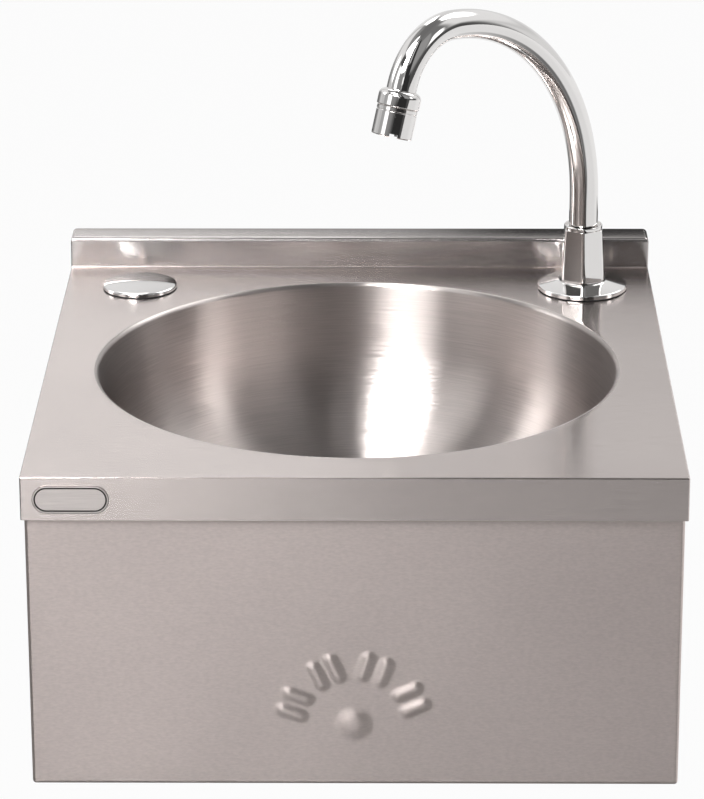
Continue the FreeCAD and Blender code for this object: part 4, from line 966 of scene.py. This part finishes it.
@dataclass
class KneePanel(SubAssembly):
    """Swinging front apron with its pressed mark, and the push bolt behind it."""

    half_width: float = 190.6
    side: Profile = ((-408.1, -95.0), (-408.1, 88.0), (-402.1, 94.0), (-382.1, 94.0), (-268.1, 80.0),
                     (-317.1, -95.0))
    fold: float = 2.2
    sheet: float = 1.2
    foot: float = 14.0
    pivot: Pair = (-394.0, 86.0)
    pivot_hole: float = 3.2
    mark_middle: Pair = (-0.5, -56.0)
    mark_reach: float = 37.0
    mark_turns: tuple[float, ...] = (160.0, 116.0, 71.0, 25.0)
    mark_length: float = 11.0
    boss: Point = (12.0, 9.5, 1.2)
    bar: Pair = (5.6, 5.4)
    mark_rise: float = 0.85
    mark_cuts: int = 100
    field_low: Pair = (-60.0, -78.0)
    field_high: Pair = (60.0, 2.0)

    @staticmethod
    def crown(distance: float, radius: float, slope: float) -> float:
        """Give the rounded rise of a pressed form, from 0 outside it to 1 on its top.

        Args:
            distance: distance from its middle line.
            radius: half its width.
            slope: width of its flank.

        Returns:
            The share of the full rise.
        """
        share = min(1.0, max(0.0, (radius - distance) / slope))
        return share * share * (3.0 - 2.0 * share)

    def rise(self, x: float, z: float) -> float:
        """Give the height of the pressed mark at a point of the panel.

        Args:
            x: place across.
            z: height.

        Returns:
            The height in millimetres.
        """
        off_x, off_z = x - self.mark_middle[0], z - self.mark_middle[1]
        radius, flank, share = self.boss
        best = self.crown(math.hypot(off_x, off_z), radius, flank) * share
        for turn in self.mark_turns:
            way_x, way_z = math.cos(math.radians(turn)), math.sin(math.radians(turn))
            along, across = off_x * way_x + off_z * way_z - self.mark_reach, off_z * way_x - off_x * way_z
            for side in (-1.0, 1.0):
                reach = max(0.0, abs(along) - self.mark_length / 2)
                near = math.hypot(reach, across - side * self.bar[0])
                best = max(best, self.crown(near, *self.bar))
        return best * self.mark_rise

    def build_apron(self) -> Piece:
        """Fold the apron from its side outline, press the mark and cut the pivot holes.

        Returns:
            The apron.
        """
        Bench.clear()
        bpy.ops.mesh.primitive_circle_add(vertices=len(self.side), radius=0.1, fill_type="NGON")
        piece = Bench.added("knee_panel_skin")
        for vertex, (y, z) in zip(piece.data.vertices, self.side):
            vertex.co = Vector((-self.half_width, y, z)) * MM
        Bench.edit(piece, everything=True)
        bpy.ops.mesh.select_mode(type="FACE")
        Bench.pull((2 * self.half_width, 0.0, 0.0))
        bpy.ops.mesh.select_all(action="SELECT")
        bpy.ops.mesh.normals_make_consistent(inside=False)
        Bench.pick(piece, lambda middle, normal: abs(normal.x) < 0.5 and (normal.z > 0.1 or normal.y > 0.5))
        bpy.ops.mesh.delete(type="FACE")
        inner, back = self.half_width - self.foot, self.side[0][0] + self.foot
        Bench.divide(piece, lambda middle, normal: normal.z < -FACING, ((0, inner), (0, -inner), (1, back)))
        Bench.pick(piece, lambda middle, normal: normal.z < -FACING and middle.y > back
                   and abs(middle.x) < inner)
        bpy.ops.mesh.delete(type="FACE")
        Bench.pick(piece, lambda start, end: True, folds=True)
        bpy.ops.mesh.bevel(offset=self.fold * MM, offset_type="OFFSET", segments=5, affect="EDGES")
        self.press_mark(piece)
        Bench.modify(piece, "SOLIDIFY", thickness=self.sheet * MM, offset=-1.0, use_even_offset=True)
        ends = [(self.pivot_hole, -400.0), (self.pivot_hole, 400.0)]
        hole = Bench.lathe("pivot_cutter", ends, segments=BOLT_FACETS, ring=False)
        place = Matrix.Translation((0.0, self.pivot[0] * MM, self.pivot[1] * MM))
        Bench.place(hole, place @ Matrix.Rotation(math.radians(90.0), 4, "Y"))
        Bench.cut(piece, hole)
        Bench.smooth(piece, SHEET_CREASE)
        return piece

    def press_mark(self, piece: Piece) -> None:
        """Divide the middle of the front finely and raise the mark in it.

        Args:
            piece: the apron's skin, in edit mode.
        """
        low, high = self.field_low, self.field_high
        cuts = ((0, low[0]), (0, high[0]), (2, low[1]), (2, high[1]))
        Bench.divide(piece, lambda middle, normal: normal.y < -SQUARE_ON, cuts)
        Bench.pick(piece, lambda middle, normal: normal.y < -SQUARE_ON and low[0] < middle.x < high[0]
                   and low[1] < middle.z < high[1])
        bpy.ops.mesh.subdivide(number_cuts=self.mark_cuts)
        mesh = bmesh.from_edit_mesh(piece.data)
        face = self.side[0][0]
        for vertex in mesh.verts:
            if abs(vertex.co.y / MM - face) < 0.01:
                vertex.co.y -= self.rise(vertex.co.x / MM, vertex.co.z / MM) * MM
        bmesh.update_edit_mesh(piece.data)

    def build(self) -> None:
        """Build the apron and dress the bolt and nuts behind it."""
        self.settle(self.build_apron(), PANEL_SHEET, Body.PANEL, "knee_panel")
        self.settle_copies(Body.PANEL, [("push_bolt", ZINC, 0.2), ("panel_weld_nut", ZINC, 0.3),
                                        ("push_lock_nut", ZINC, 0.3)])


@dataclass
class Spout(SubAssembly):
    """Swan-neck spout on its flange and tapered pillar, with the aerator at its end."""

    foot: Point = (146.5, -64.0, 100.0)
    tube: float = 9.35
    wall: float = 1.0
    heading: float = 226.5
    start: float = 112.6
    riser_top: float = 163.8
    bends: tuple[tuple[float, float, int], ...] = ((138.0, 86.0, 44), (43.2, 76.0, 36))
    tail: float = 10.8
    lead: float = 2.8
    riser_steps: int = 6
    hex_low: float = 27.7
    hex_high: float = 24.4
    hex_base: float = 106.6
    hex_top: float = 141.6
    hex_corner: float = 1.9

    def way(self) -> Vector:
        """Give the level direction in which the neck leans."""
        turn = math.radians(self.heading)
        return Vector((math.cos(turn), math.sin(turn), 0.0))

    def hinge(self) -> Vector:
        """Give the level axis that the neck bends round."""
        way = self.way()
        return Vector((-way.y, way.x, 0.0))

    def mouth(self) -> Matrix:
        """Give the frame at the neck's end, with its Z along the water.

        Returns:
            The frame, in metres.
        """
        reach, height, tilt = 0.0, self.riser_top, 0.0
        for radius, sweep, _ in self.bends:
            before, after = math.radians(tilt), math.radians(tilt + sweep)
            reach += radius * (math.cos(before) - math.cos(after))
            height += radius * (math.sin(after) - math.sin(before))
            tilt += sweep
        place = Vector((self.foot[0], self.foot[1], height)) + self.way() * reach
        return Matrix.Translation(place * MM) @ Matrix.Rotation(math.radians(tilt), 4, self.hinge())

    def build_neck(self) -> Piece:
        """Draw the tube: riser, wide bend, tight bend and a short straight end.

        Returns:
            The tube with its wall.
        """
        Bench.clear()
        x, y, _ = self.foot
        bpy.ops.mesh.primitive_circle_add(vertices=TUBE_FACETS, radius=self.tube * MM,
                                          location=(x * MM, y * MM, self.start * MM))
        piece = Bench.added("spout_neck")
        Bench.edit(piece, everything=True)
        bpy.ops.mesh.select_mode(type="EDGE")
        rise = (self.riser_top - self.start) / self.riser_steps * MM
        for _ in range(self.riser_steps):
            bpy.ops.mesh.extrude_edges_move(TRANSFORM_OT_translate={"value": (0.0, 0.0, rise)})
        way, hinge = self.way(), self.hinge()
        place, tilt = Vector((x, y, self.riser_top)), 0.0
        for radius, sweep, steps in self.bends:
            inward = Matrix.Rotation(math.radians(tilt), 3, hinge) @ way
            centre = place + inward * radius
            bpy.ops.mesh.spin(steps=steps, angle=-math.radians(sweep), center=centre * MM, axis=hinge)
            place = centre + Matrix.Rotation(math.radians(sweep), 3, hinge) @ (place - centre)
            tilt += sweep
        end = Matrix.Rotation(math.radians(tilt), 3, hinge) @ Vector((0.0, 0.0, self.tail * MM))
        bpy.ops.mesh.extrude_edges_move(TRANSFORM_OT_translate={"value": end})
        Bench.close(piece)
        Bench.modify(piece, "SOLIDIFY", thickness=self.wall * MM, offset=-1.0, use_even_offset=True)
        Bench.smooth(piece, SHEET_CREASE, weighted=False)
        return piece

    def build_flange(self) -> Piece:
        """Turn the flange: a low rim with a shallow cone.

        Returns:
            The flange.
        """
        rows = [(11.2, 0.0), (27.9, 0.0), (28.1, 0.5), (29.0, 0.9)]
        rows += Bench.arc((28.1, 2.7), 0.9, 0.0, 80.0, 5)
        rows += [(27.2, 3.7), (22.0, 4.75), (17.0, 5.95), (15.9, 6.35), (15.5, 6.6), (11.2, 6.6)]
        piece = Bench.lathe("spout_flange_turned", rows, self.foot, DISC_FACETS)
        Bench.smooth(piece, TURNED_CREASE)
        return piece

    def build_pillar(self) -> Piece:
        """Cut the tapered hexagon, turn its lower corners, bore it and add the threaded tail.

        Returns:
            The pillar.
        """
        Bench.clear()
        x, y, _ = self.foot
        flat = self.hex_low / 2
        wide = flat * 2.0 / math.sqrt(3.0)
        tall = self.hex_top - self.hex_base
        middle = (x * MM, y * MM, (self.hex_base + tall / 2) * MM)
        bpy.ops.mesh.primitive_cylinder_add(vertices=6, radius=wide * MM, depth=tall * MM, location=middle)
        piece = Bench.added("spout_pillar_cut")
        Bench.edit(piece)
        Bench.pick(piece, lambda middle, normal: normal.z > FACING)
        share = self.hex_high / self.hex_low
        bpy.ops.transform.resize(value=(share, share, 1.0),
                                 center_override=(x * MM, y * MM, self.hex_top * MM))
        Bench.pick(piece, lambda start, end: abs(start.z - end.z) > 5.0, folds=True)
        bpy.ops.mesh.bevel(offset=self.hex_corner * MM, offset_type="OFFSET", segments=6, affect="EDGES")
        rows = [(flat - 0.13, 6.3), (wide + 0.6, 9.4), (wide + 0.6, 40.6), (flat - 1.63, 41.8)]
        turned = Bench.lathe("pillar_turning", rows, self.foot, DISC_FACETS, ring=False)
        Bench.cut(piece, turned, "INTERSECT")
        rows = [(10.4, 7.6), (10.4, 4.0)] + Bench.thread(10.48, 3.0, -50.5, 1.8, 0.75) + [(9.3, -52.0)]
        shank = Bench.lathe("pillar_tail", rows, self.foot, TUBE_FACETS, ring=False)
        Bench.cut(piece, shank, "UNION")
        for radius, low, high in ((self.tube + 0.25, 12.4, 60.0), (7.0, -80.0, 20.0)):
            Bench.drill(piece, radius, (low, high), self.foot, TUBE_FACETS)
        Bench.soften(piece, 0.25, 2, 25.0)
        Bench.smooth(piece, TURNED_CREASE)
        return piece

    def build_swivel_collar(self) -> Piece:
        """Turn the thin cup on the pillar's top.

        Returns:
            The collar.
        """
        base = self.hex_top - self.foot[2]
        cup = ((9.6, 0.0), (11.9, 0.0), (12.4, 0.5), (12.4, 2.1), (12.2, 2.5), (11.9, 2.6), (11.6, 2.5),
               (11.4, 2.2), (11.4, 0.9), (9.6, 0.9))
        rows = [(radius, base + rise) for radius, rise in cup]
        piece = Bench.lathe("swivel_collar_turned", rows, self.foot)
        Bench.smooth(piece, TURNED_CREASE)
        return piece

    def build_mouth(self) -> list[tuple[Piece, Finish, str]]:
        """Turn the collar, housing and insert at the neck's end.

        Returns:
            Each piece with its finish and the node it stands for.
        """
        collar = [(9.5, 0.0)] + Bench.arc((8.9, 4.5), 4.4, -72.0, 0.0, 14)
        collar += Bench.arc((12.6, 9.9), 0.7, 0.0, 90.0, 5) + [(9.5, 10.6)]
        housing = [(11.15, 10.6), (12.2, 10.6), (12.7, 11.1), (12.7, 13.0), (12.45, 13.3), (12.45, 13.7),
                   (12.7, 14.0), (12.7, 28.5), (12.4, 29.0), (11.7, 29.2), (11.25, 29.0), (11.15, 28.6)]
        insert = [(2.0, 15.6), (11.05, 15.6), (11.05, 26.6)]
        for ring in (10.2, 8.2, 6.2, 4.2):
            insert += [(ring, 26.6), (ring - 0.4, 25.6), (ring - 0.9, 25.6), (ring - 1.2, 26.6)]
        insert += [(2.4, 26.6), (2.0, 26.0)]
        made = []
        for node, rows, finish in (("outlet_collar", collar, CHROME), ("aerator_housing", housing, CHROME),
                                   ("aerator_insert", insert, NYLON)):
            piece = Bench.lathe(node + "_turned", rows)
            if node == "aerator_housing":
                for turn in (0.0, 90.0):
                    slot = Bench.block("key_slot", (-20.0, -2.5, 27.0), (20.0, 2.5, 34.0))
                    Bench.place(slot, Matrix.Rotation(math.radians(turn), 4, "Z"))
                    Bench.cut(piece, slot)
            Bench.smooth(piece, TURNED_CREASE)
            Bench.place(piece, self.mouth() @ Matrix.Translation((0.0, 0.0, self.lead * MM)))
            made.append((piece, finish, node))
        return made

    def build(self) -> None:
        """Build the spout from its flange to its mouth."""
        flange = self.build_flange()
        self.settle(flange, CHROME, Body.BASIN, "spout_flange")
        # The flange's lowest faces get the black rubber finish: painted shade for the dark line where the
        # flange meets the deck.
        self.dress_part(flange, RUBBER, lambda middle, normal: middle.z < self.foot[2] + 0.8)
        self.settle(self.build_pillar(), CHROME, Body.BASIN, "spout_pillar")
        self.settle(self.build_swivel_collar(), CHROME, Body.BASIN, "swivel_collar")
        self.settle(self.build_neck(), CHROME, Body.SPOUT, "spout_tube")
        for piece, finish, node in self.build_mouth():
            self.settle(piece, finish, Body.SPOUT, node)


@dataclass
class TapHoleCap(SubAssembly):
    """Blanking cap in the second tap hole."""

    foot: Point = (-144.0, -64.0, 100.0)

    def build(self) -> None:
        """Turn the cap with its threaded stud."""
        rows = [(23.3, 0.0), (23.5, 0.5), (24.2, 0.9)] + Bench.arc((22.9, 1.9), 1.3, 0.0, 70.0, 8)
        rows += [(22.0, 3.45), (18.0, 4.0), (13.0, 4.42), (7.0, 4.72), (2.5, 4.8), (0.0, 4.8)]
        cap = Bench.lathe("tap_hole_cap_turned", rows, self.foot, DISC_FACETS, ring=False)
        rows = [(4.0, 0.5)] + Bench.thread(4.0, 0.0, -33.0, 1.25, 0.6) + [(3.0, -34.0)]
        stud = Bench.lathe("cap_stud", rows, self.foot, BOLT_FACETS, ring=False)
        Bench.join(cap, [stud])
        Bench.smooth(cap, 32.0)
        self.settle(cap, CHROME, Body.BASIN, "tap_hole_cap")
        # The undercut under the cap's rim gets the black rubber finish: painted shade for the dark line
        # where the cap meets the deck.
        self.dress_part(cap, RUBBER, lambda middle, normal: 0.0 < middle.z - self.foot[2] < 0.8)


class CopiedGroup(SubAssembly):
    """A group whose pieces all keep the shape of their nodes: node, finish and bevel width of each."""

    copies: dict[Body, Sequence[tuple[str, Finish, float]]] = {}

    def build(self) -> None:
        """Dress a copy of each node."""
        for body, rows in self.copies.items():
            self.settle_copies(body, rows)


class Carcass(CopiedGroup):
    """Back plate, cheeks, hinge and fixings inside the basin."""

    copies = {Body.BASIN: (
        ("back_plate", BACK_SHEET, 0.3), ("left_cheek", CHEEK_SHEET, 0.3),
        ("right_cheek", CHEEK_SHEET, 0.3), ("hinge_pins", ZINC, 0.3), ("stop_pins", ZINC, 0.3),
        ("hinge_washers", NYLON, 0.15), ("deck_nuts", ZINC, 0.3))}


class KneeValve(CopiedGroup):
    """Self-closing valve on its bracket, with the pipe up to the spout."""

    copies = {Body.BASIN: (
        ("valve_body", BRASS, 0.3), ("valve_bracket", CHEEK_SHEET, 0.3), ("bracket_rivets", ZINC, 0.2),
        ("valve_nut", BRASS, 0.4), ("outlet_pipe", PIPE, 0.1), ("pipe_nut_lower", BRASS, 0.4),
        ("pipe_nut_upper", BRASS, 0.4)),
        Body.PLUNGER: (("valve_plunger", CHROME, 0.3),)}


class UnderDeck(CopiedGroup):
    """Seals, washers and nuts that hold the spout and the cap from below, and the spout's inner seals."""

    copies = {Body.BASIN: (
        ("spout_seal", RUBBER, 0.1), ("swivel_seal", RUBBER, 0.0), ("spout_under_seal", RUBBER, 0.2),
        ("spout_washer", ZINC, 0.2), ("spout_back_nut", BRASS, 0.4), ("cap_seal", RUBBER, 0.1),
        ("cap_washer", ZINC, 0.2), ("cap_wing_nut", ZINC, 0.4)),
        Body.SPOUT: (("aerator_washer", RUBBER, 0.1),)}


class Waste(CopiedGroup):
    """Strainer waste in the bowl's recess."""

    copies = {Body.BASIN: (
        ("waste_flange", CHROME, 0.4), ("waste_screw", CHROME, 0.2), ("waste_top_seal", RUBBER, 0.1),
        ("waste_bottom_seal", RUBBER, 0.2), ("waste_tail", PLASTIC, 0.4))}


@dataclass(frozen=True)
class Softbox:
    """A bright or dark field of the studio, seen in reflections only.

    Angles are degrees: turn from the camera's side towards the right, and height over the horizon.
    """

    left: float
    right: float
    low: float
    high: float
    soft: float
    level: float


@dataclass
class Studio:
    """Floor, soft light and the camera; the floor and a rear card glow with painted light and shade for
    reflections.
    """

    floor_level: float = -0.75
    floor_tint: float = 0.82
    basin_middle: Point = (0.0, -0.2, 0.1)
    base: float = 0.30
    zenith: float = 0.18
    plain_sky: float = 0.6
    fields: tuple[Softbox, ...] = (
        Softbox(-150, -46, -30, 12, 8, 0.7),
        Softbox(-150, -76, 12, 70, 8, 0.3),
        Softbox(-150, -108, 10, 48, 6, 0.9),
        Softbox(-150, -82, 34, 50, 4, 0.9),
        Softbox(-84, -66, 12, 38, 3, 0.45),
        Softbox(-66, -44, 12, 38, 3, 1.9),
        Softbox(-80, -44, 38, 52, 2, 0.1),
        Softbox(-150, -124, -30, 10, 6, 0.3),
        Softbox(-80, -44, 53, 80, 3, 3.6),
        Softbox(30, 88, 12, 70, 9, 0.2),
        Softbox(28, 62, 12, 56, 3, 0.34),
        Softbox(88, 170, 12, 56, 7, 0.9),
        Softbox(120, 158, 34, 62, 4, 5),
        Softbox(100, 170, -30, 12, 7, 0.8),
        Softbox(30, 100, -30, 12, 7, 0.08),
        Softbox(-182, -158, 40, 60, 3, 3.2),
        Softbox(-110, -92, 13, 32, 5, 5),
        Softbox(68, 80, 13, 30, 4, 3),
        Softbox(-38.5, -11, 32, 70, 2, 26),
        Softbox(-9, 0.3, 12, 22.5, 1.2, 1.25),
        Softbox(-9, 0.3, 22.5, 78, 1.2, 0.5),
        Softbox(-64, 38, -30, 13.5, 2, 0.03),
        Softbox(0.6, 16, -12, 66, 1.2, 0.03),
        Softbox(6, 15, 34, 66, 1.5, 0.6),
        Softbox(15, 29, -12, 66, 1.2, 0.03),
    )
    lamps: tuple[tuple[str, float, float, float, Pair, float], ...] = (
        ("key_softbox", -25.0, 40.0, 2.4, (0.9, 1.2), 11.0),
        ("right_softbox", 72.0, 36.0, 2.2, (0.4, 0.7), 3.0),
        ("rear_softbox", -112.0, 32.0, 2.2, (0.4, 0.8), 3.0),
        ("top_softbox", 0.0, 88.0, 2.2, (1.4, 1.4), 3.0),
    )
    camera_place: Point = (0.0195, -2.476, 0.9002)
    camera_turn: Point = (0.576, 69.99, -0.117)
    sensor: float = 36.0
    lens: float = 174.14

    def light_sky(self) -> None:
        """Draw the studio round the object: white to the camera, soft fields to what mirrors it."""
        world = bpy.data.worlds.new("studio")
        bpy.context.scene.world = world
        world.use_nodes = True
        sheet = NodeSheet(world.node_tree)
        x, y, z = sheet.split(sheet.add("ShaderNodeTexCoord").outputs["Generated"])
        turn = sheet.sum("DEGREES", sheet.sum("ARCTAN2", x, sheet.times(y, -1.0)))
        height = sheet.sum("DEGREES", sheet.sum("ARCSINE", z))
        level = sheet.span(height, (45.0, 75.0), (self.base, self.zenith), soft=True)
        behind = sheet.span(sheet.sum("ABSOLUTE", turn), (145.0, 160.0), (0.0, 1.0), soft=True)
        behind = sheet.times(behind, sheet.span(height, (42.0, 58.0), (1.0, 0.0), soft=True))
        level = sheet.between(behind, level, sheet.span(x, (-0.15, 0.15), (0.88, 0.735)))
        for patch in self.fields:
            shape = sheet.times(sheet.band(turn, patch.left, patch.right, patch.soft),
                                sheet.band(height, patch.low, patch.high, patch.soft))
            level = sheet.between(shape, level, patch.level)
        camera, mirror = sheet.rays()
        seen = sheet.between(camera, sheet.between(mirror, self.plain_sky, level), 1.0)
        background = world.node_tree.nodes["Background"]
        background.inputs["Color"].default_value = (1.0, 1.0, 1.0, 1.0)
        sheet.feed(background.inputs["Strength"], seen)

    def lay_floor(self) -> None:
        """Lay the pale floor, which keeps the object's shadow; it glows white to the camera, and to mirrors
        it glows with painted light and shade.
        """
        Bench.clear()
        bpy.ops.mesh.primitive_plane_add(size=24.0, location=(0.0, 2.0, self.floor_level))
        floor = Bench.added("studio_floor")
        material = bpy.data.materials.new("studio_floor_paint_and_glow")
        material.use_nodes = True
        sheet = NodeSheet(material.node_tree)
        shader = material.node_tree.nodes["Principled BSDF"]
        shader.inputs["Base Color"].default_value = (*(self.floor_tint,) * 3, 1.0)
        shader.inputs["Roughness"].default_value = 0.9
        # Painted light and shade that the floor glows to mirrors: near and far tones, a painted shade band
        # in front of the basin, dark bands and a bright band to the sides, and a pale band behind.
        x, y, _ = sheet.split(sheet.coordinates())
        near = sheet.span(x, (-0.5, 0.5), (0.405, 0.535))
        far = sheet.times(sheet.span(x, (-0.6, 0.0), (2.40, 0.66)), sheet.span(x, (0.0, 0.5), (1.0, 0.67)))
        tone = sheet.between(sheet.span(y, (-3.9, -3.2), (1.0, 0.0), soft=True), near, far)
        shade = sheet.times(sheet.span(y, (-1.5, -0.9), (0.0, 1.0), soft=True),
                            sheet.span(sheet.sum("ABSOLUTE", x), (0.5, 0.9), (1.0, 0.0), soft=True))
        tone = sheet.between(shade, tone, 0.12)
        for source, reach, soft, level in ((x, (0.55, 0.75), False, 0.15), (x, (1.0, 1.3), True, 0.88),
                                           (y, (-0.4, 0.8), True, 0.97), (x, (-0.8, -1.1), False, 0.15)):
            tone = sheet.between(sheet.span(source, reach, (0.0, 1.0), soft), tone, level)
        camera, mirror = sheet.rays()
        glow = sheet.add("ShaderNodeEmission", {"Strength": sheet.between(camera, tone, 1.0)})
        share = sheet.times(sheet.sum("MAXIMUM", camera, mirror), 0.93)
        mix = sheet.add("ShaderNodeMixShader", {0: share, 1: shader.outputs[0], 2: glow.outputs[0]})
        sheet.feed(material.node_tree.nodes["Material Output"].inputs["Surface"], mix.outputs[0])
        floor.data.materials.append(material)

    def stand_card(self) -> None:
        """Stand a low glowing card behind the upstand, seen in reflections only: painted light on the left,
        painted shade on the right.
        """
        card = Bench.block("rear_card", (-230.0, 4.0, 96.0), (240.0, 6.0, 131.0))
        material = bpy.data.materials.new("rear_card_painted_glow")
        material.use_nodes = True
        sheet = NodeSheet(material.node_tree)
        x, _, _ = sheet.split(sheet.coordinates())
        # Painted reflection: the card glows paler on the left and nearly black on the right, for the deck
        # and upstand to mirror.
        left = sheet.span(x, (-0.19, 0.0), (0.75, 0.45))
        tone = sheet.times(left, sheet.span(x, (0.0, 0.12), (1.0, 0.12), soft=True))
        glow = sheet.add("ShaderNodeEmission", {"Strength": tone})
        sheet.feed(material.node_tree.nodes["Material Output"].inputs["Surface"], glow.outputs[0])
        card.data.materials.append(material)
        card.visible_camera = card.visible_diffuse = card.visible_shadow = False

    def hang_lamp(self, name: str, turn: float, height: float, distance: float, size: Pair,
                  power: float) -> None:
        """Hang one soft lamp that faces the basin.

        Args:
            name: its name.
            turn: degrees from the camera's side towards the right.
            height: degrees over the horizon.
            distance: metres from the basin.
            size: width and height in metres.
            power: watts.
        """
        Bench.clear()
        flat, rise = math.radians(turn), math.radians(height)
        way = Vector((math.sin(flat) * math.cos(rise), -math.cos(flat) * math.cos(rise), math.sin(rise)))
        bpy.ops.object.light_add(type="AREA", location=Vector(self.basin_middle) + way * distance)
        lamp = bpy.context.active_object
        lamp.name = name
        lamp.rotation_euler = (-way).to_track_quat("-Z", "Y").to_euler()
        lamp.data.shape = "RECTANGLE"
        lamp.data.size, lamp.data.size_y = size
        lamp.data.energy = power
        lamp.visible_camera = lamp.visible_glossy = False

    def set_camera(self) -> None:
        """Stand the camera at the photograph's angle."""
        Bench.clear()
        bpy.ops.object.camera_add()
        camera = bpy.context.active_object
        camera.name = "photo_camera"
        swing, tip, roll = (math.radians(value) for value in self.camera_turn)
        camera.matrix_world = (Matrix.Translation(self.camera_place) @ Matrix.Rotation(swing, 4, "Z")
                               @ Matrix.Rotation(tip, 4, "X") @ Matrix.Rotation(roll, 4, "Z"))
        camera.data.sensor_fit = "VERTICAL"
        camera.data.sensor_height = self.sensor
        camera.data.lens = self.lens
        bpy.context.scene.camera = camera

    def build(self) -> None:
        """Set up the whole studio."""
        bpy.context.scene.view_settings.view_transform = "Standard"
        self.light_sky()
        self.lay_floor()
        self.stand_card()
        for lamp in self.lamps:
            self.hang_lamp(*lamp)
        self.set_camera()
        LOG.info("studio set")


def main() -> None:
    """Build the studio and every sub-assembly in order."""
    logging.basicConfig(level=logging.INFO, format="%(name)s %(message)s")
    Studio().build()
    groups = (BasinTop(), KneePanel(), Spout(), TapHoleCap(), Carcass(), KneeValve(), UnderDeck(), Waste())
    for group in groups:
        group.build()
        LOG.info("%s done", type(group).__name__)


if __name__ == "__main__":
    main()
